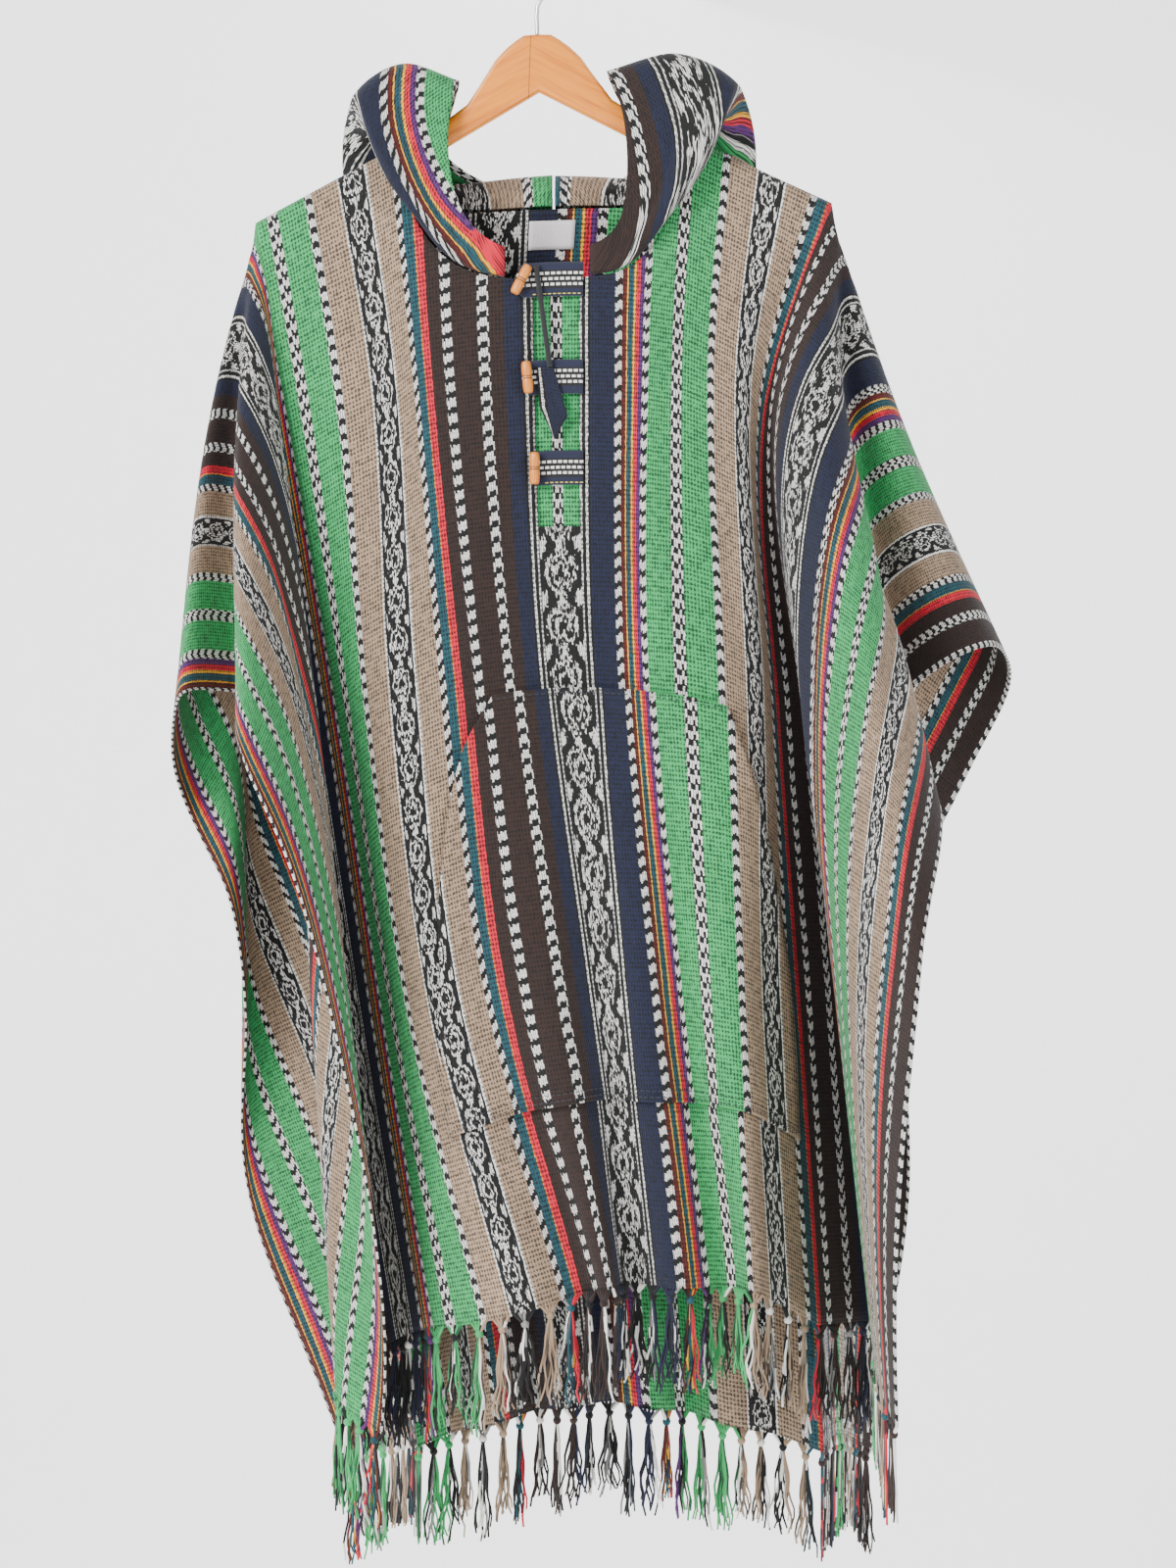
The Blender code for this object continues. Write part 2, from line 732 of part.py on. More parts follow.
def pocket_columns() -> list[float]:
    """The front's columns that the pocket reaches, and one beyond at each side."""
    widest_left = min(edge.left for edge in POCKET_EDGES)
    widest_right = max(edge.right for edge in POCKET_EDGES)
    inside = [u for u in front_columns() if widest_left < u < widest_right]
    return [widest_left] + inside + [widest_right]


def build_underlay(look) -> None:
    """The strip behind the slit."""
    columns = [-UNDERLAY_HALF, -SLIT_HALF, 0.0, SLIT_HALF, UNDERLAY_HALF]
    shares = [UNDERLAY_TOP] + spaced(UNDERLAY_TOP, SLIT_SHARE + UNDERLAY_OVERLAP, 8)
    wall("placket_underlay", front_cloth(), grid(columns, shares), look, lift=-STRAP_LIFT)


def build_straps(cloth, bamboo) -> None:
    """Three straps across the slit, each under its toggle."""
    toggle_lift = STRAP_LIFT + WALL / 2 + TOGGLE_REST + TOGGLE_RADIUS
    tall = STRAP_HALF_HEIGHT / (FRONT_LENGTH * STRAP_DROP)
    for number, strap in enumerate(STRAPS, start=1):
        rows = []
        for k in range(5):
            height = -1 + k / 2
            rounding = 1 - math.sqrt(1 - STRAP_SQUARE * height * height)
            left = strap.left + STRAP_HALF_HEIGHT * STRAP_ROUND * rounding
            places = (left, -SLIT_HALF, 0.0, SLIT_HALF, STRAP_RIGHT)
            rows.append([(u, strap.share + tall * height) for u in places])
        wall(f"strap_{number}", front_cloth(), rows, cloth, lift=STRAP_LIFT)
        place = on_front(strap.left + TOGGLE_INSET, strap.share, toggle_lift)
        below = on_front(strap.left + TOGGLE_INSET, strap.share + tall, toggle_lift)
        build_toggle(f"toggle_{number}", place, below - place, strap.lean, bamboo)


def build_toggle(name: str, place: Vector, down: Vector, lean: float, look) -> None:
    """A turned bamboo toggle, waisted at its middle and rounded at its ends."""
    profile = (
        (-0.50, 0.55), (-0.46, 0.86), (-0.30, 1.00), (-0.06, 0.98), (0.0, 0.84),
        (0.06, 0.98), (0.30, 1.00), (0.46, 0.86), (0.50, 0.55),
    )
    sides = 10
    mesh = bmesh.new()
    rings = []
    for height, width in profile:
        ring = []
        for k in range(sides):
            angle = 2 * math.pi * k / sides
            radius = TOGGLE_RADIUS * width
            ring.append(mesh.verts.new((
                radius * math.cos(angle), radius * math.sin(angle), TOGGLE_LENGTH * height,
            )))
        rings.append(ring)
    for low, high in zip(rings, rings[1:]):
        for k in range(sides):
            mesh.faces.new((low[k], low[(k + 1) % sides], high[(k + 1) % sides], high[k]))
    mesh.faces.new(rings[0])
    mesh.faces.new(rings[-1])
    made = add_object(name, mesh, look)
    pitch = math.atan2(down.y, -down.z)
    turn = Matrix.Rotation(pitch, 4, "X") @ Matrix.Rotation(lean, 4, "Y")
    made.data.transform(Matrix.Translation(place) @ turn)
    made.data.shade_smooth()


def neck_edge(side: int, share: float) -> Vector:
    """A point of the neck's edge, 0 at the throat, 0.5 on the shoulder ridge, 1 at the centre back."""
    throat = HOOD_THROAT_LEFT if side < 0 else HOOD_THROAT_RIGHT
    ridge = 0.5
    if share < ridge - RIDGE_SHARE:
        first = math.asin(throat / NECK_HALF)
        angle = first + (math.pi / 2 - first) * share / (ridge - RIDGE_SHARE)
        across = NECK_HALF * math.sin(angle)
        return front_point(side * across, neck_share(across, FRONT_NECK, FRONT_LENGTH))
    if share > ridge + RIDGE_SHARE:
        across = NECK_HALF * math.sin(math.pi / 2 * (1 - share) / (ridge - RIDGE_SHARE))
        return back_point(side * across, neck_share(across, BACK_NECK, BACK_LENGTH))
    over = (share - ridge) / RIDGE_SHARE
    if over < 0:
        return front_point(side * NECK_HALF, -over * QUARTER / FRONT_LENGTH)
    return back_point(side * NECK_HALF, over * QUARTER / BACK_LENGTH)


def hood_point(side: int, share: float, t: float) -> Vector:
    """A point of one hood half: t runs from the neck seam (0) to the face edge (1)."""
    turn = math.pi * share
    outward = Vector((side * math.sin(turn), -math.cos(turn), 0.0))
    spread = HOOD_SPREAD_LEFT if side < 0 else HOOD_SPREAD_RIGHT
    knots = [row.share for row in HOOD_SECTIONS]
    control = [Vector((-HOOD_INSET, HOOD_LIFT))]
    for name in ("rise", "crest", "turn_in", "turn_out", "upper", "edge"):
        pairs = [Vector(getattr(row, name)) / 1000 for row in HOOD_SECTIONS]
        control.append(through(knots, pairs, share))
    place = through(HOOD_STATIONS, control, t)
    point = neck_edge(side, share)
    point.x += outward.x * place.x * spread + side * HOOD_SEAM_HALF_GAP
    clear = HOOD_STAND * min(max(HOOD_STAND_RATE * outward.y, -1.0), 1.0) * eased(t / HOOD_LAYERS[1])
    point.y += outward.y * max(place.x, 0.0) * spread + clear
    point.z += place.y
    return point


def build_hood(side: int, look) -> None:
    """One half of the hood, lying down behind the neck."""
    name = "hood_left" if side < 0 else "hood_right"

    def surface(share: float, t: float) -> Vector:
        return hood_point(side, min(max(share, 0.0), 1.0), min(max(t, 0.0), 1.0))

    wall(name, surface, grid(HOOD_SHARES, HOOD_LAYERS), look)


def build_label(look) -> None:
    """The blank label on the inside of the back neck."""
    width, height = LABEL_SIZE
    top = neck_share(0.0, BACK_NECK, BACK_LENGTH) + LABEL_DROP / BACK_LENGTH
    foot = top + height / BACK_LENGTH
    lift = WALL / 2 + SEAM_GAP + LABEL_THICKNESS / 2
    columns = (-width / 2, -width / 4, 0.0, width / 4, width / 2)
    rows = grid(columns, (top, (top + foot) / 2, foot))
    cloth = on_columns(back_point, back_columns())
    wall("label", cloth, rows, look, thickness=LABEL_THICKNESS, lift=lift)


def build_cord(cord_look, tab_look) -> None:
    """The black cord at the throat and the folded tab on its end."""
    lift = STRAP_LIFT + WALL / 2 + CORD_DIAMETER / 2 + SEAM_GAP
    route = []
    for k in range(CORD_POINTS):
        t = k / (CORD_POINTS - 1)
        across = CORD_START[0] + t * (CORD_END[0] - CORD_START[0])
        route.append(on_front(across, CORD_START[1] + t * (CORD_END[1] - CORD_START[1]), lift))
    data = bpy.data.curves.new("pull_cord", "CURVE")
    data.dimensions = "3D"
    data.bevel_depth = CORD_DIAMETER / 2
    data.bevel_resolution = 2
    data.use_fill_caps = True
    spline = data.splines.new("POLY")
    spline.points.add(len(route) - 1)
    for point, place in zip(spline.points, route):
        point.co = (*place, 1.0)
    data.materials.append(cord_look)
    cord = bpy.data.objects.new("pull_cord", data)
    bpy.context.scene.collection.objects.link(cord)

    lift = STRAP_LIFT + WALL + SEAM_GAP
    mesh = bmesh.new()
    front, rear = [], []
    for across, drop in TAB_CORNERS:
        share = TAB_TOP + drop / FRONT_LENGTH
        front.append(mesh.verts.new(on_front(across, share, lift + WALL / 2)))
        rear.append(mesh.verts.new(on_front(across, share, lift - WALL / 2)))
    count = len(TAB_CORNERS)
    mesh.faces.new(front)
    mesh.faces.new(list(reversed(rear)))
    for k in range(count):
        mesh.faces.new((front[k], rear[k], rear[(k + 1) % count], front[(k + 1) % count]))
    bmesh.ops.triangulate(mesh, faces=mesh.faces)
    add_object("pull_tab", mesh, tab_look)


def build_fringe(name: str, surface: Surface, columns: Sequence[float], length: float, look) -> None:
    """A narrow strip under one hem, with a tassel drawn from each of its wide cells."""
    mesh = bmesh.new()
    top_share = 1 + STRIP_GAP / length
    foot_share = top_share + STRIP_HEIGHT / length
    lines = [[surface(u, share) for u in columns] for share in (top_share, foot_share)]
    rings = []
    for k, (high, low) in enumerate(zip(*lines)):
        side = grid_normal(lines, 0, k) * WALL / 2
        rings.append([mesh.verts.new(p) for p in (high + side, low + side, low - side, high - side)])
    mesh.faces.new(rings[0])
    mesh.faces.new(list(reversed(rings[-1])))
    feet = []
    for here, there in zip(rings, rings[1:]):
        for k in range(4):
            face = mesh.faces.new((here[k], there[k], there[(k + 1) % 4], here[(k + 1) % 4]))
            if k == 1:
                feet.append((face, there[1].co - here[1].co))
    for number, (foot, aside) in enumerate(feet):
        if columns[number + 1] - columns[number] < TASSEL_LEAST_CELL:
            continue
        sway = TASSEL_SWAY * math.sin(number * 2.4)
        reach = TASSEL_LENGTH * (1 + TASSEL_UNEVEN * math.sin(number * 1.7))
        knot = TASSEL_WIDTH / max(aside.length, TASSEL_WIDTH)
        steps = ((KNOT_DROP, knot, 0.2), (reach / 2, BELLY_WIDTH, 0.6), (reach / 2, TIP_WIDTH, 1.0))
        for drop, width, lean in steps:
            foot = draw_out(mesh, foot, aside.normalized(), drop, width, sway * lean)
    add_object(name, mesh, look)


def draw_out(mesh: bmesh.types.BMesh, face, aside: Vector, drop: float, width: float, lean: float):
    """Extrude a face downwards and change its width along the hem; returns the new end face."""
    made = bmesh.ops.extrude_discrete_faces(mesh, faces=[face])["faces"][0]
    middle = made.calc_center_median()
    for vertex in made.verts:
        run = (vertex.co - middle).dot(aside)
        vertex.co += aside * run * (width - 1) + Vector((lean, 0.0, -drop))
    return made


def arm_ring(x: float, half_width: float, top: float, under: float) -> list[Vector]:
    """One upright section through a hanger arm: round above and below, slightly domed at its sides."""
    reach = min(half_width, (top - under) / 2)
    ring = []
    for middle, start in ((top - reach, 0.0), (under + reach, math.pi)):
        for k in range(ROUND_STEPS + 1):
            angle = start + math.pi * k / ROUND_STEPS
            ring.append(Vector((x, half_width * math.cos(angle), middle + reach * math.sin(angle))))
        side = -1 if start == 0.0 else 1
        dome = ARM_DOME * half_width / (ARM_THICKNESS / 2)
        ring.append(Vector((x, side * (half_width + dome), (top + under) / 2)))
    return ring


def arm_rings() -> list[list[Vector]]:
    """Sections of the right arm, from the hanger's middle to the arm's rounded tip."""
    straight = ARM_END_X - ARM_TIP_REACH
    slope = (ARM_END_UNDER - APEX_UNDER) / straight
    rings = [arm_ring(x, ARM_THICKNESS / 2, arm_top(x), APEX_UNDER + slope * x) for x in ARM_STATIONS]
    middle = (arm_top(straight) + ARM_END_UNDER) / 2
    half_height = (arm_top(straight) - ARM_END_UNDER) / 2
    for k in range(1, TIP_STEPS + 1):
        angle = math.radians(80) * k / TIP_STEPS
        high = half_height * math.cos(angle)
        wide = ARM_THICKNESS / 2 * math.sqrt(math.cos(angle))
        x = straight + ARM_TIP_REACH * math.sin(angle)
        rings.append(arm_ring(x, wide, middle + high, middle - high))
    return rings


def build_hanger(wood, metal) -> None:
    """The wooden arms and the hook, one hanger, tilted together about the hook."""
    right = arm_rings()
    left = [[Vector((-p.x, p.y, p.z)) for p in ring] for ring in right[1:]]
    mesh = bmesh.new()
    rings = [[mesh.verts.new(p) for p in ring] for ring in list(reversed(left)) + right]
    for here, there in zip(rings, rings[1:]):
        for k in range(len(here)):
            after = (k + 1) % len(here)
            mesh.faces.new((here[k], here[after], there[after], there[k]))
    mesh.faces.new(rings[0])
    mesh.faces.new(rings[-1])
    bmesh.ops.recalc_face_normals(mesh, faces=mesh.faces)
    bmesh.ops.triangulate(mesh, faces=mesh.faces)
    arms = add_object("hanger_arms", mesh, wood)
    arms.rotation_euler = (0.0, -HANGER_TILT, 0.0)

    centre = HOOK_WIRE - HOOK_RADIUS
    route = []
    for k in range(HOOK_STEPS + 1):
        angle = HOOK_START - HOOK_SWEEP * k / HOOK_STEPS
        route.append((HOOK_RADIUS * math.cos(angle), centre + HOOK_RADIUS * math.sin(angle)))
    route += [*HOOK_STEM, (0.0, CROWN_TOP + SEAM_GAP)]
    data = bpy.data.curves.new("hanger_hook", "CURVE")
    data.dimensions = "3D"
    data.bevel_depth = HOOK_WIRE
    data.bevel_resolution = 2
    data.use_fill_caps = True
    spline = data.splines.new("POLY")
    spline.points.add(len(route) - 1)
    for point, (x, z) in zip(spline.points, route):
        point.co = (x, 0.0, z, 1.0)
    data.materials.append(metal)
    hook = bpy.data.objects.new("hanger_hook", data)
    bpy.context.scene.collection.objects.link(hook)
    hook.rotation_euler = (0.0, -HANGER_TILT, 0.0)


def build() -> None:
    """Make every piece of the poncho and its hanger."""
    clear_scene()
    brown = material("brown cloth", (0.10, 0.05, 0.04), 0.95)
    green = material("green cloth", (0.10, 0.35, 0.16), 0.95)
    navy = material("navy cloth", (0.03, 0.04, 0.10), 0.95)
    white = material("label cloth", (0.85, 0.85, 0.82), 0.8)
    yarn = material("fringe yarn", (0.30, 0.28, 0.26), 0.95)
    black = material("black cord", (0.01, 0.01, 0.01), 0.8)
    bamboo = material("bamboo", (0.62, 0.36, 0.14), 0.45)
    wood = material("beech", (0.75, 0.45, 0.18), 0.4)
    metal = material("hook metal", (0.75, 0.75, 0.76), 0.25, 1.0)
    build_front(brown)
    build_back(green)
    build_pocket(brown)
    build_underlay(green)
    build_straps(navy, bamboo)
    build_hood(-1, navy)
    build_hood(1, navy)
    build_label(white)
    build_cord(black, navy)
    build_fringe("front_fringe", front_point, front_columns(), FRONT_LENGTH, yarn)
    build_fringe("back_fringe", back_point, back_columns(), BACK_LENGTH, yarn)
    build_hanger(wood, metal)


build()
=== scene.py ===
"""Looks of a striped, hooded poncho that hangs on a wooden hanger.

The poncho is one length of handwoven cloth folded over the shoulders. Every piece of cloth is
built from the same two cloth coordinates as the solids, in metres: across (0 at the centre front,
positive to the viewer's right) and along (0 on the shoulder fold, positive down the front and
negative down the back). They are also the piece's UV map, so the stripes follow the cloth.
"""

import logging
import math
import random
from dataclasses import dataclass
from enum import Enum
from typing import Callable, NamedTuple, Sequence

import bmesh
import bpy
from mathutils import Matrix, Vector


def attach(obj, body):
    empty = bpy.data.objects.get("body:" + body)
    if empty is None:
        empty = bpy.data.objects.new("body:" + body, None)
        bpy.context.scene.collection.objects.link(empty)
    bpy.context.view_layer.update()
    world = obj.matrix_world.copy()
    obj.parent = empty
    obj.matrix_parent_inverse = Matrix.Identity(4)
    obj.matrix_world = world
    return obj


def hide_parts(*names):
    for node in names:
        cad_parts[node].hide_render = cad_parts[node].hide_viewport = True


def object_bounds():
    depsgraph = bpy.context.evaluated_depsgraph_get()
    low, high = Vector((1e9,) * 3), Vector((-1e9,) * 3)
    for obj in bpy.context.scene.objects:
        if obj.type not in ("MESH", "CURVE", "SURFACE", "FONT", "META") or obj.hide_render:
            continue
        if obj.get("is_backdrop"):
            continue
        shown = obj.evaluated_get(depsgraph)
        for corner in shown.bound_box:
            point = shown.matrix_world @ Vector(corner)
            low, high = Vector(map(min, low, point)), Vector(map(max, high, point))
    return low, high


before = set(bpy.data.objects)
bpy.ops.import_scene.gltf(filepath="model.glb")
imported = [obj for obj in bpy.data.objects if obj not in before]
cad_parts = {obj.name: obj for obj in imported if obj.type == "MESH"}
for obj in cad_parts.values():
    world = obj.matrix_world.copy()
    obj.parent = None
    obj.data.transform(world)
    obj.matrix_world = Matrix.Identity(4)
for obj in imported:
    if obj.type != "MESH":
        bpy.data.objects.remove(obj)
cad_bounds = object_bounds()
log = logging.getLogger("poncho")

Place = tuple[float, float]
Surface = Callable[[float, float], Vector]
Colour = tuple[float, float, float]

# Driving sizes, the same as the solids have.
HALF_WIDTH = 0.615
NECK_HALF = 0.112
ARM_HALF = 0.232
FRONT_LENGTH = 0.905
BACK_LENGTH = 1.02
HANGER_TILT = math.radians(2.0)
NECK_X = 0.118
ARM_END_X = 0.2256
RIDGE_RADIUS = 0.0085
RIDGE_LIFT = 0.0018
FAN_TIP_REACH = 0.009
QUARTER = RIDGE_RADIUS * math.pi / 2
BEND_REACH = 0.018
BEND_SAMPLES = 5
NECK_SHIFT = 0.0136
NECK_RISE = 0.012
SLIT_HALF = 0.0184
SLIT_END = 0.352 * FRONT_LENGTH
CLOTH = 0.0018
STRIPE_REPEAT = 0.335


class ArmStation(NamedTuple):
    """Height of the hanger arm's top edge at one distance from its middle."""

    x: float
    top: float


ARM_TOP = (
    ArmStation(0.0000, -0.0752),
    ArmStation(0.0110, -0.0756),
    ArmStation(0.0350, -0.0952),
    ArmStation(0.0590, -0.1304),
    ArmStation(0.0864, -0.1496),
    ArmStation(0.1376, -0.1752),
    ArmStation(0.2096, -0.2112),
    ArmStation(ARM_END_X, -0.2192),
)


class NeckCurve(NamedTuple):
    """How far the neck edge drops below the shoulders, and how square its curve is."""

    drop: float
    power: float


FRONT_NECK = NeckCurve(0.112, 3.0)
BACK_NECK = NeckCurve(0.054, 4.0)


class PanelLine(NamedTuple):
    """One line down the panel between the hanger's ends, in millimetres.

    x has the chest, the waist, the hip and the hem; depth has the top edge before them, and
    a negative depth is towards the viewer.
    """

    across: float
    x: tuple[float, float, float, float]
    depth: tuple[float, float, float, float, float]
    hem: float


STATIONS = (0.0, 0.20, 0.46, 0.73, 1.0)

FRONT_LINES = (
    PanelLine(-232, (-194, -155, -118, -78), (-9, -12, -4, -2, -8), -1131),
    PanelLine(-190, (-158, -136, -101, -41), (-9, -20, -28, -36, -42), -1122),
    PanelLine(-152, (-120, -105, -76, -8), (-9, -26, -42, -55, -60), -1113),
    PanelLine(-102, (-86, -62, -32, 36), (-11, -36, -44, -50, -44), -1100),
    PanelLine(-56, (-41, -22, 12, 62), (-14, -38, -46, -58, -74), -1094),
    PanelLine(-28, (-10, 2, 34, 71), (-16, -37, -43, -47, -52), -1092),
    PanelLine(0, (19, 25, 54, 84), (-17, -37, -43, -40, -36), -1091),
    PanelLine(50, (66, 68, 88, 116), (-15, -37, -43, -56, -66), -1093),
    PanelLine(100, (102, 102, 122, 150), (-11, -34, -45, -42, -36), -1094),
    PanelLine(145, (142, 150, 160, 174), (-9, -28, -44, -60, -68), -1096),
    PanelLine(183, (170, 180, 184, 198), (-9, -24, -34, -42, -44), -1107),
    PanelLine(232, (186, 198, 216, 232), (-9, -8, -2, 2, 0), -1129),
)

BACK_LINES = (
    PanelLine(-232, (-206, -172, -130, -96), (9, 22, 38, 52, 62), -1236),
    PanelLine(-186, (-170, -144, -104, -66), (9, 26, 46, 66, 80), -1226),
    PanelLine(-140, (-126, -108, -72, -34), (9, 20, 30, 36, 38), -1216),
    PanelLine(-93, (-82, -72, -40, 0), (10, 22, 44, 64, 80), -1208),
    PanelLine(-46, (-36, -30, -4, 30), (11, 20, 28, 34, 36), -1202),
    PanelLine(0, (10, 14, 34, 62), (12, 22, 42, 62, 76), -1200),
    PanelLine(46, (54, 58, 72, 96), (11, 20, 28, 34, 38), -1203),
    PanelLine(93, (98, 100, 110, 128), (10, 22, 44, 64, 78), -1209),
    PanelLine(140, (142, 142, 148, 162), (9, 20, 30, 38, 42), -1218),
    PanelLine(186, (182, 184, 188, 200), (9, 26, 46, 66, 80), -1228),
    PanelLine(232, (212, 216, 226, 238), (9, 24, 38, 48, 56), -1240),
)


class FanFold(NamedTuple):
    """One fold line of a sleeve's fan: its angle in the flat cloth, and how it hangs."""

    cloth: float
    swing: float
    depth: float


LEFT_FOLDS = (
    FanFold(-90, -7.0, 4.0),
    FanFold(-79, -6.5, 11.0),
    FanFold(-70, -3.4, 15.0),
    FanFold(-63, 2.0, 16.0),
    FanFold(-55, 1.8, 12.5),
    FanFold(-47, 3.0, 9.5),
    FanFold(-40, 6.8, 9.5),
    FanFold(-32, 9.0, 5.0),
    FanFold(-22, 9.2, -2.0),
    FanFold(-12, 8.0, -8.0),
    FanFold(-4, 4.6, -4.5),
    FanFold(3, 1.0, -1.0),
    FanFold(11, -2.0, -5.0),
    FanFold(22, 1.0, -14.0),
    FanFold(34, 0.4, -19.8),
    FanFold(45, -3.6, -15.5),
    FanFold(54, -5.6, -9.5),
    FanFold(65, -6.4, -3.0),
    FanFold(72, -3.4, -0.5),
    FanFold(80, -6.0, 2.2),
    FanFold(90, -9.0, -1.0),
)

RIGHT_FOLDS = (
    FanFold(-90, -1.0, 4.0),
    FanFold(-79, 0.0, 11.0),
    FanFold(-70, 1.6, 16.0),
    FanFold(-64, 5.2, 16.5),
    FanFold(-55, 6.4, 12.5),
    FanFold(-47, 9.0, 11.0),
    FanFold(-40, 14.5, 13.5),
    FanFold(-29, 21.0, 12.0),
    FanFold(-16, 21.8, 5.0),
    FanFold(-3, 19.8, -2.0),
    FanFold(9, 14.0, -2.0),
    FanFold(20, 9.0, 3.0),
    FanFold(30, 7.4, -4.0),
    FanFold(42, 10.5, -13.5),
    FanFold(54, 6.5, -18.0),
    FanFold(65, 2.6, -10.5),
    FanFold(76, 1.8, -1.5),
    FanFold(83, 2.8, 4.0),
    FanFold(90, -1.0, 0.5),
)

LEFT_BOW = 7.0
RIGHT_BOW = -6.0
BOW_REACH = 0.45
BOW_CLOTH = 75.0


class HoodSection(NamedTuple):
    """One section of a hood half, from the neck seam to the face edge, in millimetres."""

    share: float
    rise: Place
    crest: Place
    turn_in: Place
    turn_out: Place
    upper: Place
    edge: Place


HOOD_SECTIONS = (
    HoodSection(0.00, (-2, 6), (-3, 9), (-3, 12), (-4, 15), (-6, 20), (-9, 25)),
    HoodSection(0.18, (0, 7), (3, 12), (3, 18), (0, 27), (-10, 36), (-26, 42)),
    HoodSection(0.36, (2, 7), (9, 11), (18, 17), (22, 36), (2, 54), (-40, 52)),
    HoodSection(0.50, (3, 8), (13, 12), (28, 18), (34, 42), (-6, 68), (-52, 54)),
    HoodSection(0.64, (2, 10), (15, 14), (38, -24), (54, -8), (18, 62), (-40, 54)),
    HoodSection(0.80, (1, 14), (18, 18), (42, -150), (60, -152), (58, 10), (6, 42)),
    HoodSection(0.91, (1, 16), (20, 20), (42, -212), (62, -214), (68, -40), (30, 24)),
    HoodSection(1.00, (1, 17), (20, 21), (42, -230), (62, -232), (70, -60), (40, 14)),
)
HOOD_STATIONS = (0.0, 0.07, 0.15, 0.42, 0.52, 0.78, 1.0)


class Crease(NamedTuple):
    """One soft ridge (or trough, where high is negative) pressed into the hanging cloth.

    across, along, lean and length place its line in the cloth, in metres; lean is how far
    across it drifts over its length. wide is its half width and high its height.
    """

    across: float
    along: float
    lean: float
    length: float
    wide: float
    high: float


CREASES = (
    Crease(-0.060, 0.16, -0.030, 0.34, 0.014, 0.0022),
    Crease(0.080, 0.13, 0.030, 0.40, 0.016, 0.0024),
    Crease(0.150, 0.20, 0.024, 0.30, 0.012, -0.0020),
    Crease(-0.150, 0.18, -0.020, 0.42, 0.015, 0.0026),
    Crease(0.030, 0.36, 0.010, 0.16, 0.012, -0.0016),
    Crease(-0.095, 0.74, 0.016, 0.26, 0.015, -0.0030),
    Crease(0.064, 0.72, -0.012, 0.30, 0.014, 0.0028),
    Crease(0.118, 0.76, 0.010, 0.24, 0.012, -0.0024),
    Crease(-0.020, 0.77, 0.010, 0.26, 0.013, -0.0024),
    Crease(-0.300, 0.25, -0.090, 0.34, 0.020, 0.0030),
    Crease(-0.420, 0.18, -0.060, 0.30, 0.018, -0.0024),
    Crease(0.330, 0.22, 0.070, 0.32, 0.018, 0.0028),
    Crease(0.450, 0.12, 0.080, 0.26, 0.018, -0.0026),
    Crease(0.010, -0.34, -0.016, 0.46, 0.016, 0.0026),
    Crease(-0.110, -0.30, -0.030, 0.52, 0.018, -0.0026),
    Crease(0.130, -0.38, 0.028, 0.48, 0.016, 0.0028),
    Crease(-0.330, -0.42, -0.070, 0.36, 0.020, 0.0030),
    Crease(0.360, -0.46, 0.060, 0.40, 0.020, -0.0030),
)


def through(knots: Sequence[float], values: Sequence, at: float):
    """Read a smooth curve through the knots, held straight beyond its ends.

    Args:
        knots: where the values stand, in rising order.
        values: numbers or vectors.
        at: where to read the curve.

    Returns:
        The value there, of the same kind as the values.
    """
    last = len(knots) - 2
    i = 0
    while i < last and at > knots[i + 1]:
        i += 1

    def slope(k: int):
        before, after = max(k - 1, 0), min(k + 1, len(knots) - 1)
        return (values[after] - values[before]) / (knots[after] - knots[before])

    gap = knots[i + 1] - knots[i]
    t = (at - knots[i]) / gap
    if t < 0:
        return values[i] + slope(i) * (at - knots[i])
    if t > 1:
        return values[i + 1] + slope(i + 1) * (at - knots[i + 1])
    rise = values[i + 1] - values[i]
    first, second = slope(i) * gap, slope(i + 1) * gap
    square, cube = 3 * rise - 2 * first - second, first + second - 2 * rise
    return values[i] + first * t + square * t * t + cube * t**3


def eased(t: float) -> float:
    """Go smoothly from 0 to 1."""
    t = min(max(t, 0.0), 1.0)
    return t * t * (3 - 2 * t)


def spaced(start: float, end: float, count: int) -> list[float]:
    """Return count equal steps, without the start value."""
    return [start + (end - start) * (k + 1) / count for k in range(count)]


def linear(red: int, green: int, blue: int) -> Colour:
    """Turn a colour as seen on screen into the shader's linear one.

    Args:
        red: 0 to 255.
        green: 0 to 255.
        blue: 0 to 255.

    Returns:
        The three linear channels, 0 to 1.
    """
    def channel(value: int) -> float:
        share = value / 255
        return share / 12.92 if share <= 0.04045 else ((share + 0.055) / 1.055) ** 2.4
    return channel(red), channel(green), channel(blue)


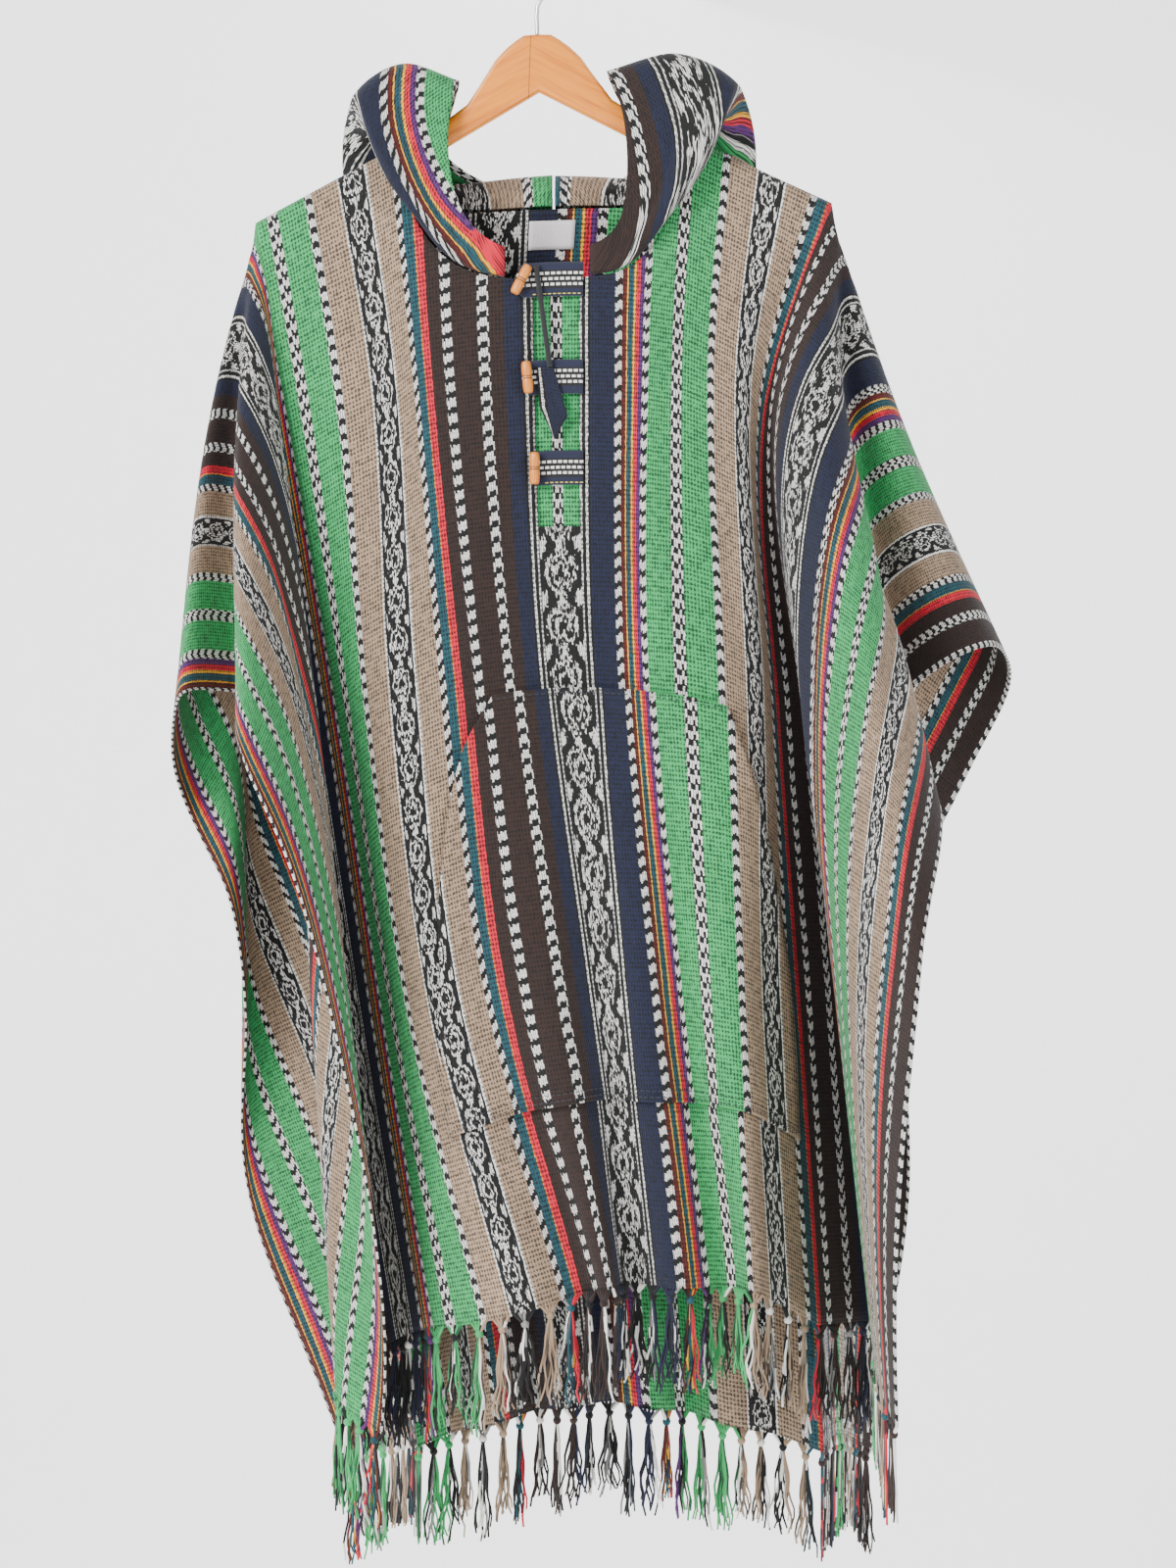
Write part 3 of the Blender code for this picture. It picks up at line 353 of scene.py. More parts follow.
@dataclass(frozen=True)
class HangingCloth:
    """Where the poncho's cloth hangs: a panel between the hanger's ends and a fan beyond each.

    Attributes:
        half_width: from the centre front to a selvedge.
        arm_half: cloth from the centre front to the hanger's end.
        crease_gain: how deep the creases of the table are pressed.
    """

    half_width: float = HALF_WIDTH
    arm_half: float = ARM_HALF
    crease_gain: float = 1.7

    def tilted(self, x: float, z: float) -> Vector:
        """Turn a point of the hanger's own frame about the hook."""
        return Matrix.Rotation(-HANGER_TILT, 3, "Y") @ Vector((x, 0.0, z))

    def shoulder(self, across: float) -> Vector:
        """Place the cloth on the shoulder fold.

        Args:
            across: cloth coordinate, from the neck out.

        Returns:
            The point, in metres.
        """
        share = (abs(across) - NECK_HALF) / (self.arm_half - NECK_HALF)
        x = NECK_X + share * (ARM_END_X + FAN_TIP_REACH - NECK_X)
        top = through([s.x for s in ARM_TOP], [s.top for s in ARM_TOP], x)
        return self.tilted(math.copysign(x, across), top + RIDGE_LIFT)

    def top(self, across: float) -> Vector:
        """Place the shoulder fold, or where it would be across the neck opening.

        Args:
            across: cloth coordinate.

        Returns:
            The point, in metres.
        """
        if abs(across) >= NECK_HALF:
            return self.shoulder(across)
        share = across / NECK_HALF
        point = self.shoulder(-NECK_HALF).lerp(self.shoulder(NECK_HALF), (share + 1) / 2)
        point.x += NECK_SHIFT * (1 - share * share)
        point.z += NECK_RISE * (1 - share * share)
        return point

    def panel(self, lines: Sequence[PanelLine], across: float, down: float, length: float) -> Vector:
        """Place a point between the hanger's ends.

        Args:
            lines: the panel's lines, of the front or of the back.
            across: cloth coordinate.
            down: distance from the shoulder fold, never negative.
            length: from the shoulder fold to the hem.

        Returns:
            The point, in metres.
        """
        share = down / length
        top = self.top(across)
        where = [line.across / 1000 for line in lines]
        hem = through(where, [line.hem / 1000 for line in lines], across)
        stations = [top.x]
        for k in range(4):
            stations.append(through(where, [line.x[k] / 1000 for line in lines], across))
        depths = [through(where, [line.depth[k] / 1000 for line in lines], across) for k in range(5)]
        x = through(STATIONS, stations, share)
        depth = through(STATIONS, depths, share)
        turn = min(down / RIDGE_RADIUS, math.pi / 2)
        shoulder = top.z - RIDGE_RADIUS * (1 - math.cos(turn))
        below = max(down - QUARTER, 0.0) / (length - QUARTER)
        return Vector((x, depth * math.sin(turn), shoulder + below * (hem - top.z + RIDGE_RADIUS)))

    def fan_direction(self, side: int, cloth: float, reach: float) -> Vector:
        """Direction of one ray of a sleeve's fan, evened out over a little cloth to each side.

        Args:
            side: 1 for the viewer's right, -1 for the left.
            cloth: the ray's angle in the flat cloth, in degrees.
            reach: distance from the hanger's end.

        Returns:
            The mean of the nearby unit directions.
        """
        folds = RIGHT_FOLDS if side > 0 else LEFT_FOLDS
        knots = [fold.cloth for fold in folds]
        swings = [fold.swing for fold in folds]
        depths = [fold.depth for fold in folds]
        bow = (RIGHT_BOW if side > 0 else LEFT_BOW) * (1 - eased(reach / BOW_REACH))
        window = math.degrees(BEND_REACH / max(reach, BEND_REACH))
        total = Vector()
        for k in range(BEND_SAMPLES):
            at = min(max(cloth + window * (2 * k / (BEND_SAMPLES - 1) - 1), -90.0), 90.0)
            swing = math.radians(through(knots, swings, at) + bow * eased(1 - abs(at) / BOW_CLOTH))
            depth = math.radians(through(knots, depths, at))
            level = math.cos(depth)
            total += Vector((side * math.sin(swing) * level, math.sin(depth), -math.cos(swing) * level))
        return total / BEND_SAMPLES

    def place(self, across: float, along: float) -> Vector:
        """Place a point of the cloth, before its creases.

        Args:
            across: cloth coordinate, positive to the viewer's right.
            along: cloth coordinate, positive down the front and negative down the back.

        Returns:
            The point, in metres.
        """
        lines, length = (FRONT_LINES, FRONT_LENGTH) if along >= 0 else (BACK_LINES, BACK_LENGTH)
        behind = 1 if along >= 0 else -1
        down = abs(along)
        if abs(across) <= self.arm_half:
            return self.panel(lines, across, down, length)
        side = 1 if across > 0 else -1
        tip = self.shoulder(side * self.arm_half)
        out = abs(across) - self.arm_half
        reach = math.hypot(out, down)
        cloth = behind * math.degrees(math.atan2(down, out))
        point = tip + reach * self.fan_direction(side, cloth, reach)
        seam = self.panel(lines, side * self.arm_half, reach, length)
        straight = tip + reach * self.fan_direction(side, behind * 90.0, reach)
        return point + eased((abs(cloth) - 15) / 75) * (seam - straight)

    def crease_height(self, across: float, along: float) -> float:
        """Sum of the small creases at one place of the cloth.

        Args:
            across: cloth coordinate.
            along: cloth coordinate.

        Returns:
            How far the cloth is pressed out along its normal.
        """
        total = 0.0
        for crease in CREASES:
            share = (along - crease.along) / crease.length if along * crease.along > 0 else -1.0
            share = abs(share) if crease.along < 0 <= -along else share
            if not 0.0 < share < 1.0:
                continue
            off = (across - crease.across - crease.lean * share) / crease.wide
            total += self.crease_gain * crease.high * math.exp(-off * off) * math.sin(math.pi * share)
        return total


def neck_depth(across: float, curve: NeckCurve) -> float:
    """How far down from the shoulder fold the neck's edge crosses a line of the cloth."""
    return QUARTER + curve.drop * math.sqrt(max(0.0, 1 - abs(across / NECK_HALF) ** curve.power))


HUNG = HangingCloth()


def unit_normal(surface: Surface, across: float, along: float) -> Vector:
    """Unit normal of a surface, towards the viewer on the front.

    Args:
        surface: places a point of the cloth.
        across: cloth coordinate.
        along: cloth coordinate.

    Returns:
        The normal.
    """
    step = 0.001
    side = surface(across + step, along) - surface(across - step, along)
    down = surface(across, along + step) - surface(across, along - step)
    return down.cross(side).normalized()


def lifted(lift: float) -> Surface:
    """Move the cloth's surface, with its creases, along its normal.

    Args:
        lift: towards the viewer on the front, away from the viewer on the back.

    Returns:
        The moved surface.
    """
    def surface(across: float, along: float) -> Vector:
        rise = HUNG.crease_height(across, along) + lift
        return HUNG.place(across, along) + unit_normal(HUNG.place, across, along) * rise
    return surface


def deselect_all() -> None:
    """Leave nothing selected and nothing active."""
    for thing in bpy.context.selected_objects:
        thing.select_set(False)
    bpy.context.view_layer.objects.active = None


def make_active(piece: bpy.types.Object) -> None:
    """Select one piece alone and make it the active one.

    Args:
        piece: the piece.
    """
    deselect_all()
    piece.select_set(True)
    bpy.context.view_layer.objects.active = piece


def apply_modifiers(piece: bpy.types.Object) -> None:
    """Apply every modifier of a piece, in order.

    Args:
        piece: the piece, which is left unselected.
    """
    make_active(piece)
    for modifier in list(piece.modifiers):
        bpy.ops.object.modifier_apply(modifier=modifier.name)
    deselect_all()


def finish_piece(
    piece: bpy.types.Object, look: bpy.types.Material, slot: str, *nodes: str
) -> bpy.types.Object:
    """Dress a piece, ride it on the hanging body and say which solids it stands for.

    Args:
        piece: the finished object.
        look: its material.
        slot: not used.
        nodes: the CAD nodes that it replaces.

    Returns:
        The same piece.
    """
    if look.name not in piece.data.materials:
        piece.data.materials.append(look)
    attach(piece, "root")
    if nodes:
        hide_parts(*nodes)
    log.info("%s made, for %s", piece.name, ", ".join(nodes) or "no solid")
    return piece


def grid_sheet(
    name: str,
    places: Sequence[Sequence[Vector]],
    threads: Sequence[Sequence[Place]],
    skip: Callable[[int, int], bool] | None = None,
    thickness: float = CLOTH,
) -> bpy.types.Object:
    """Make a sheet of cloth from a grid of points, with its cloth coordinates as UV map.

    Args:
        name: the piece's name.
        places: rows of points.
        threads: the cloth coordinates of the same points.
        skip: a test of (row, column) for a cell that is left open.
        thickness: of the cloth, half to each side of the points.

    Returns:
        The piece, as one closed mesh.
    """
    mesh = bmesh.new()
    layer = mesh.loops.layers.uv.new("cloth")
    corners = [[mesh.verts.new(p) for p in line] for line in places]
    uv_of = {v: threads[r][c] for r, line in enumerate(corners) for c, v in enumerate(line)}
    for r in range(len(places) - 1):
        for c in range(len(places[0]) - 1):
            if skip and skip(r, c):
                continue
            ring = (corners[r][c], corners[r + 1][c], corners[r + 1][c + 1], corners[r][c + 1])
            face = mesh.faces.new(ring)
            face.smooth = True
            for loop in face.loops:
                loop[layer].uv = uv_of[loop.vert]
    loose = [v for v in mesh.verts if not v.link_faces]
    bmesh.ops.delete(mesh, geom=loose, context="VERTS")
    data = bpy.data.meshes.new(name)
    mesh.to_mesh(data)
    mesh.free()
    piece = bpy.data.objects.new(name, data)
    bpy.context.scene.collection.objects.link(piece)
    wall = piece.modifiers.new("wall", "SOLIDIFY")
    wall.thickness = thickness
    wall.offset = 0.0
    apply_modifiers(piece)
    return piece


class Dye(Enum):
    """The colours of the warp, and the three woven figures, which are black and white."""

    BLACK = linear(9, 9, 10)
    WHITE = linear(228, 226, 220)
    NAVY = linear(16, 22, 48)
    GREEN = linear(50, 158, 88)
    TAN = linear(156, 132, 108)
    BROWN = linear(40, 23, 17)
    MAROON = linear(84, 20, 12)
    YELLOW = linear(226, 160, 30)
    TEAL = linear(22, 70, 80)
    RED = linear(200, 18, 46)
    PURPLE = linear(80, 34, 96)
    DASH = (1.0, 0.0, 0.0)
    EYES = (0.0, 1.0, 0.0)
    SMALL_EYES = (0.0, 0.0, 1.0)


FIGURES = (Dye.DASH, Dye.EYES, Dye.SMALL_EYES)


class Band(NamedTuple):
    """One stripe of the repeat: where it starts, in thousandths of it, and its dye."""

    start: float
    dye: Dye


BANDS = (
    Band(0, Dye.EYES),
    Band(55, Dye.WHITE),
    Band(60, Dye.BLACK),
    Band(69, Dye.WHITE),
    Band(75, Dye.BLACK),
    Band(81, Dye.NAVY),
    Band(147, Dye.DASH),
    Band(168, Dye.MAROON),
    Band(182, Dye.YELLOW),
    Band(187, Dye.TEAL),
    Band(204, Dye.YELLOW),
    Band(211, Dye.RED),
    Band(226, Dye.PURPLE),
    Band(240, Dye.DASH),
    Band(261, Dye.GREEN),
    Band(332, Dye.DASH),
    Band(359, Dye.GREEN),
    Band(426, Dye.DASH),
    Band(446, Dye.TAN),
    Band(510, Dye.WHITE),
    Band(514, Dye.BLACK),
    Band(518, Dye.SMALL_EYES),
    Band(575, Dye.BLACK),
    Band(580, Dye.WHITE),
    Band(584, Dye.TAN),
    Band(643, Dye.DASH),
    Band(661, Dye.TEAL),
    Band(684, Dye.YELLOW),
    Band(687, Dye.RED),
    Band(706, Dye.BROWN),
    Band(739, Dye.DASH),
    Band(762, Dye.BROWN),
    Band(821, Dye.DASH),
    Band(846, Dye.BROWN),
    Band(879, Dye.NAVY),
    Band(917, Dye.BLACK),
    Band(923, Dye.WHITE),
    Band(929, Dye.BLACK),
    Band(938, Dye.WHITE),
    Band(943, Dye.BLACK),
    Band(945, Dye.EYES),
)


class Graph:
    """Adds nodes to one material and joins them, so that a formula reads as one."""

    def __init__(self, name: str) -> None:
        """Start a material with its shader alone.

        Args:
            name: the material's name.
        """
        self.look = bpy.data.materials.new(name)
        self.look.use_nodes = True
        self.tree = self.look.node_tree
        self.shader = self.tree.nodes["Principled BSDF"]

    def add(self, kind: str, **settings) -> bpy.types.Node:
        """Add a node and set its plain properties.

        Args:
            kind: the node's type.
            settings: its properties.

        Returns:
            The node.
        """
        node = self.tree.nodes.new(kind)
        for key, value in settings.items():
            setattr(node, key, value)
        return node

    def feed(self, socket: bpy.types.NodeSocket, value) -> None:
        """Join an output to a socket, or set a plain value on it.

        Args:
            socket: an input.
            value: an output or a plain value.
        """
        if isinstance(value, bpy.types.NodeSocket):
            self.tree.links.new(value, socket)
        else:
            socket.default_value = value

    def calc(self, operation: str, *values) -> bpy.types.NodeSocket:
        """Add a Math node.

        Args:
            operation: what it does.
            values: outputs or numbers, up to three.

        Returns:
            Its output.
        """
        node = self.add("ShaderNodeMath", operation=operation)
        for socket, value in zip(node.inputs, values):
            self.feed(socket, value)
        return node.outputs[0]

    def mix(self, share, first, second, blend: str = "MIX") -> bpy.types.NodeSocket:
        """Mix two colours.

        Args:
            share: of the second colour.
            first: an output or a plain colour.
            second: an output or a plain colour.
            blend: how they mix.

        Returns:
            The mixed colour.
        """
        node = self.add("ShaderNodeMix", data_type="RGBA", blend_type=blend)
        self.feed(node.inputs["Factor"], share)
        for socket, value in ((node.inputs[6], first), (node.inputs[7], second)):
            self.feed(socket, (*value, 1.0) if isinstance(value, tuple) and len(value) == 3 else value)
        return node.outputs[2]

    def noise(self, vector, scale: float, detail: float = 2.0) -> bpy.types.NodeSocket:
        """Add a noise texture.

        Args:
            vector: where it is read.
            scale: in waves for each metre.
            detail: number of finer layers.

        Returns:
            Its value, about 0 to 1.
        """
        node = self.add("ShaderNodeTexNoise")
        self.feed(node.inputs["Vector"], vector)
        node.inputs["Scale"].default_value = scale
        node.inputs["Detail"].default_value = detail
        return node.outputs["Fac"]

    def ramp(
        self, share, stops: Sequence[tuple[float, Colour]], mode: str = "CONSTANT"
    ) -> bpy.types.NodeSocket:
        """Add a colour ramp.

        Args:
            share: the socket that reads it.
            stops: positions and colours, in rising order.
            mode: how it goes from one stop to the next.

        Returns:
            Its colour.
        """
        node = self.add("ShaderNodeValToRGB")
        node.color_ramp.interpolation = mode
        elements = node.color_ramp.elements
        elements.remove(elements[1])
        elements[0].position = stops[0][0]
        elements[0].color = (*stops[0][1], 1.0)
        for position, colour in stops[1:]:
            elements.new(position).color = (*colour, 1.0)
        self.feed(node.inputs["Fac"], share)
        return node.outputs["Color"]

    def bump(self, height, strength: float, distance: float) -> None:
        """Give the shader a relief.

        Args:
            height: an output.
            strength: 0 to 1.
            distance: in metres, from the lowest height to the highest.
        """
        node = self.add("ShaderNodeBump")
        node.inputs["Strength"].default_value = strength
        node.inputs["Distance"].default_value = distance
        self.feed(node.inputs["Height"], height)
        self.feed(self.shader.inputs["Normal"], node.outputs["Normal"])

    def surface(self, roughness: float, sheen: float = 0.0, coat: float = 0.0, metallic: float = 0.0) -> None:
        """Set the shader's own plain values.

        Args:
            roughness: of the surface.
            sheen: weight of its fuzz.
            coat: weight of its lacquer.
            metallic: 1 for metal.
        """
        self.shader.inputs["Roughness"].default_value = roughness
        self.shader.inputs["Sheen Weight"].default_value = sheen
        self.shader.inputs["Sheen Roughness"].default_value = 0.55
        self.shader.inputs["Coat Weight"].default_value = coat
        self.shader.inputs["Metallic"].default_value = metallic


@dataclass(frozen=True)
class StripedWeave:
    """The brushed, striped cloth, read from the cloth coordinates.

    Attributes:
        repeat: width of one repeat of the stripes.
        strand: width of one warp strand of the black and white figures.
        dash: length from one dash to the next.
        eye: length of one eye of the broad figure.
        small_eye: length of one eye of the narrow figure.
        eye_half: half width of the broad figure.
        small_half: half width of the narrow figure.
        small_centre: centre of the narrow figure in the repeat.
        fleck: twice the distance between the weave's dark flecks.
        wander: how far a stripe's edge wanders.
        slip: how far one strand's pattern stands off the next one's.
        drift: how far the pattern drifts over a hand's width.
    """

    repeat: float = STRIPE_REPEAT
    strand: float = 0.0018
    dash: float = 0.0118
    eye: float = 0.0416
    small_eye: float = 0.0330
    eye_half: float = 0.0182
    small_half: float = 0.0096
    small_centre: float = 0.183
    fleck: float = 0.0052
    wander: float = 0.0009
    slip: float = 0.0060
    drift: float = 0.0070

    def near(self, graph: Graph, across, centre: float) -> bpy.types.NodeSocket:
        """Distance across from the nearest repeat of a line of the cloth.

        Args:
            graph: the material's nodes.
            across: cloth coordinate.
            centre: the line's place in the repeat.

        Returns:
            The distance, never negative.
        """
        turns = graph.calc("DIVIDE", graph.calc("SUBTRACT", across, centre), self.repeat)
        off = graph.calc("SUBTRACT", turns, graph.calc("ROUND", turns))
        return graph.calc("MULTIPLY", graph.calc("ABSOLUTE", off), self.repeat)

    def eyes(self, graph: Graph, off, along, half: float, length: float, rough) -> bpy.types.NodeSocket:
        """A column of eyes with crosses between them, 1 where the yarn is white.

        Args:
            graph: the material's nodes.
            off: distance from the column's middle.
            along: cloth coordinate.
            half: half width of the column.
            length: of one eye.
            rough: a small noise that breaks the rings.

        Returns:
            The white share.
        """
        wide = graph.calc("DIVIDE", off, half)
        turn = graph.calc("FRACT", graph.calc("DIVIDE", along, length))
        tall = graph.calc("MULTIPLY", graph.calc("ABSOLUTE", graph.calc("SUBTRACT", turn, 0.5)), 2.0)
        rest = graph.calc("SUBTRACT", 1.0, tall)

        def ring(first, second) -> bpy.types.NodeSocket:
            squares = graph.calc("ADD", graph.calc("POWER", first, 2.0), graph.calc("POWER", second, 2.0))
            return graph.calc("ADD", graph.calc("SQRT", squares), rough)

        white, black = (1.0, 1.0, 1.0), (0.0, 0.0, 0.0)
        rings = ((0.0, black), (0.27, white), (0.42, black), (0.62, white), (0.76, black))
        eye = graph.ramp(ring(wide, tall), rings)
        knot = graph.calc("LESS_THAN", ring(wide, rest), 0.20)
        side = graph.calc("LESS_THAN", ring(graph.calc("SUBTRACT", 1.0, wide), rest), 0.30)
        return graph.calc("MAXIMUM", graph.calc("MAXIMUM", eye, knot), side)

    def colour(self, graph: Graph, across, along) -> tuple[bpy.types.NodeSocket, bpy.types.NodeSocket]:
        """The yarn's colour at one place of the cloth, without its flecks.

        Args:
            graph: the material's nodes.
            across: cloth coordinate.
            along: cloth coordinate.

        Returns:
            The colour, and the share of white yarn in it.
        """
        half = self.repeat / 2
        share = graph.calc("FRACT", graph.calc("DIVIDE", across, self.repeat))
        second = graph.calc("GREATER_THAN", share, 0.5)
        dyed, figured = [], []
        for low, high in ((0, 500), (500, 1000)):
            before = [band for band in BANDS if band.start <= low][-1]
            rows = [Band(low, before.dye)] + [band for band in BANDS if low < band.start < high]
            at = graph.calc("MULTIPLY", graph.calc("SUBTRACT", share, low / 1000), 2.0)
            stops = [((row.start - low) / (high - low), row.dye) for row in rows]
            plain = [(p, Dye.BLACK.value if dye in FIGURES else dye.value) for p, dye in stops]
            figure = [(p, dye.value if dye in FIGURES else (0.0, 0.0, 0.0)) for p, dye in stops]
            dyed.append(graph.ramp(at, plain))
            figured.append(graph.ramp(at, figure))
        base = graph.mix(second, dyed[0], dyed[1])
        parts = graph.add("ShaderNodeSeparateColor")
        graph.feed(parts.inputs[0], graph.mix(second, figured[0], figured[1]))

        strand = graph.calc("FLOOR", graph.calc("DIVIDE", across, self.strand))
        chance = graph.add("ShaderNodeTexWhiteNoise", noise_dimensions="1D")
        graph.feed(chance.inputs["W"], strand)
        slip = graph.calc("MULTIPLY", graph.calc("SUBTRACT", chance.outputs["Value"], 0.5), self.slip)
        place = graph.add("ShaderNodeCombineXYZ")
        graph.feed(place.inputs[0], across)
        graph.feed(place.inputs[1], graph.calc("MULTIPLY", along, 0.35))
        slow = graph.calc("SUBTRACT", graph.noise(place.outputs[0], 24.0, 1.0), 0.5)
        slid = graph.calc("ADD", along, graph.calc("ADD", slip, graph.calc("MULTIPLY", slow, self.drift)))
        grain = graph.noise(place.outputs[0], 560.0, 1.0)
        rough = graph.calc("MULTIPLY", graph.calc("SUBTRACT", grain, 0.5), 0.62)
        beat = graph.calc("FRACT", graph.calc("DIVIDE", slid, self.dash))
        dash = graph.calc("LESS_THAN", graph.calc("ADD", beat, graph.calc("MULTIPLY", rough, 0.4)), 0.56)
        broad = self.eyes(graph, self.near(graph, across, 0.0), slid, self.eye_half, self.eye, rough)
        off = self.near(graph, across, self.small_centre)
        narrow = self.eyes(graph, off, slid, self.small_half, self.small_eye, rough)
        white = graph.calc("MULTIPLY", parts.outputs[0], dash)
        white = graph.calc("ADD", white, graph.calc("MULTIPLY", parts.outputs[1], broad))
        white = graph.calc("ADD", white, graph.calc("MULTIPLY", parts.outputs[2], narrow))
        within = graph.calc("FRACT", graph.calc("DIVIDE", across, self.strand))
        gap = graph.calc("GREATER_THAN", graph.calc("ABSOLUTE", graph.calc("SUBTRACT", within, 0.5)), 0.34)
        white = graph.calc("MULTIPLY", white, graph.calc("SUBTRACT", 1.0, graph.calc("MULTIPLY", gap, 0.72)))
        return graph.mix(white, base, Dye.WHITE.value), white

    def build(self, name: str = "striped cloth") -> bpy.types.Material:
        """Make the material.

        Args:
            name: the material's name.

        Returns:
            The material.
        """
        graph = Graph(name)
        source = graph.add("ShaderNodeUVMap", uv_map="cloth")
        parts = graph.add("ShaderNodeSeparateXYZ")
        graph.feed(parts.inputs[0], source.outputs[0])
        across, along = parts.outputs[0], parts.outputs[1]
        edge = graph.calc("SUBTRACT", graph.noise(source.outputs[0], 260.0, 2.0), 0.5)
        across = graph.calc("ADD", across, graph.calc("MULTIPLY", edge, self.wander * 2))
        yarn, white = self.colour(graph, across, along)

        turn = 2 * math.pi / self.fleck
        lean = graph.calc("MULTIPLY", along, 0.72)
        first = graph.calc("SINE", graph.calc("MULTIPLY", graph.calc("ADD", across, lean), turn))
        second = graph.calc("SINE", graph.calc("MULTIPLY", graph.calc("SUBTRACT", across, lean), turn))
        woven = graph.calc("MULTIPLY", first, second)
        fuzz = graph.noise(source.outputs[0], 620.0, 3.0)
        cloud = graph.noise(source.outputs[0], 22.0, 3.0)
        tuft = graph.noise(source.outputs[0], 170.0, 2.0)
        mixed = graph.calc("ADD", woven, graph.calc("MULTIPLY", graph.calc("SUBTRACT", fuzz, 0.5), 3.0))
        mixed = graph.calc("ADD", mixed, graph.calc("MULTIPLY", graph.calc("SUBTRACT", tuft, 0.5), 2.0))
        fleck = graph.add("ShaderNodeMapRange", interpolation_type="SMOOTHSTEP")
        graph.feed(fleck.inputs["Value"], mixed)
        fleck.inputs["From Min"].default_value = -0.15
        fleck.inputs["From Max"].default_value = 0.75
        dark = graph.mix(1.0, yarn, (0.09, 0.10, 0.11), "MULTIPLY")
        clean = graph.calc("SUBTRACT", 0.92, graph.calc("MULTIPLY", white, 0.70))
        speckled = graph.mix(graph.calc("MULTIPLY", fleck.outputs[0], clean), yarn, dark)
        level = graph.calc("ADD", 0.45, graph.calc("MULTIPLY", cloud, 0.50))
        level = graph.calc("ADD", level, graph.calc("MULTIPLY", fuzz, 0.60))
        shade = graph.add("ShaderNodeCombineColor")
        for socket in shade.inputs[:3]:
            graph.feed(socket, level)
        graph.feed(graph.shader.inputs["Base Color"], graph.mix(1.0, speckled, shade.outputs[0], "MULTIPLY"))
        relief = graph.calc("SUBTRACT", graph.calc("MULTIPLY", fuzz, 0.8), fleck.outputs[0])
        graph.surface(0.95, sheen=0.04)
        graph.bump(relief, 0.7, 0.0013)
        return graph.look


class DashRow(NamedTuple):
    """One row of dashes: its height as a share of the strap's half, and its offset in dashes."""

    height: float
    offset: float


STRAP_ROWS = (DashRow(0.35, 0.0), DashRow(0.02, 0.4), DashRow(-0.30, 0.1))


@dataclass(frozen=True)
class StrapWeave:
    """The navy strap cloth with rows of white dashes along it.

    Attributes:
        half: half height of the strap.
        dash: length from one dash to the next.
        filled: share of that length that is white.
        line: half width of a row of dashes.
        black_share: share of the half height that is black.
    """

    half: float = 0.0125
    dash: float = 0.0046
    filled: float = 0.7
    line: float = 0.0010
    black_share: float = 0.55

    def build(self, name: str = "strap cloth") -> bpy.types.Material:
        """Make the material, which reads (along the strap, up from its middle).

        Args:
            name: the material's name.

        Returns:
            The material.
        """
        graph = Graph(name)
        source = graph.add("ShaderNodeUVMap", uv_map="cloth")
        parts = graph.add("ShaderNodeSeparateXYZ")
        graph.feed(parts.inputs[0], source.outputs[0])
        run, height = parts.outputs[0], parts.outputs[1]
        fuzz = graph.noise(source.outputs[0], 900.0, 2.0)
        white: bpy.types.NodeSocket | float = 0.0
        for row in STRAP_ROWS:
            away = graph.calc("ABSOLUTE", graph.calc("SUBTRACT", height, row.height * self.half))
            line = graph.calc("LESS_THAN", away, self.line)
            turns = graph.calc("DIVIDE", run, self.dash)
            beat = graph.calc("FRACT", graph.calc("ADD", turns, row.offset))
            dashes = graph.calc("MULTIPLY", line, graph.calc("LESS_THAN", beat, self.filled))
            white = graph.calc("MAXIMUM", white, dashes)
        near = graph.calc("LESS_THAN", graph.calc("ABSOLUTE", height), self.black_share * self.half)
        base = graph.mix(near, Dye.NAVY.value, Dye.BLACK.value)
        yarn = graph.mix(white, base, Dye.WHITE.value)
        level = graph.calc("ADD", 0.65, graph.calc("MULTIPLY", fuzz, 0.6))
        shade = graph.add("ShaderNodeCombineColor")
        for socket in shade.inputs[:3]:
            graph.feed(socket, level)
        graph.feed(graph.shader.inputs["Base Color"], graph.mix(1.0, yarn, shade.outputs[0], "MULTIPLY"))
        graph.surface(0.93, sheen=0.2)
        graph.bump(graph.calc("ADD", fuzz, white), 0.5, 0.0006)
        return graph.look


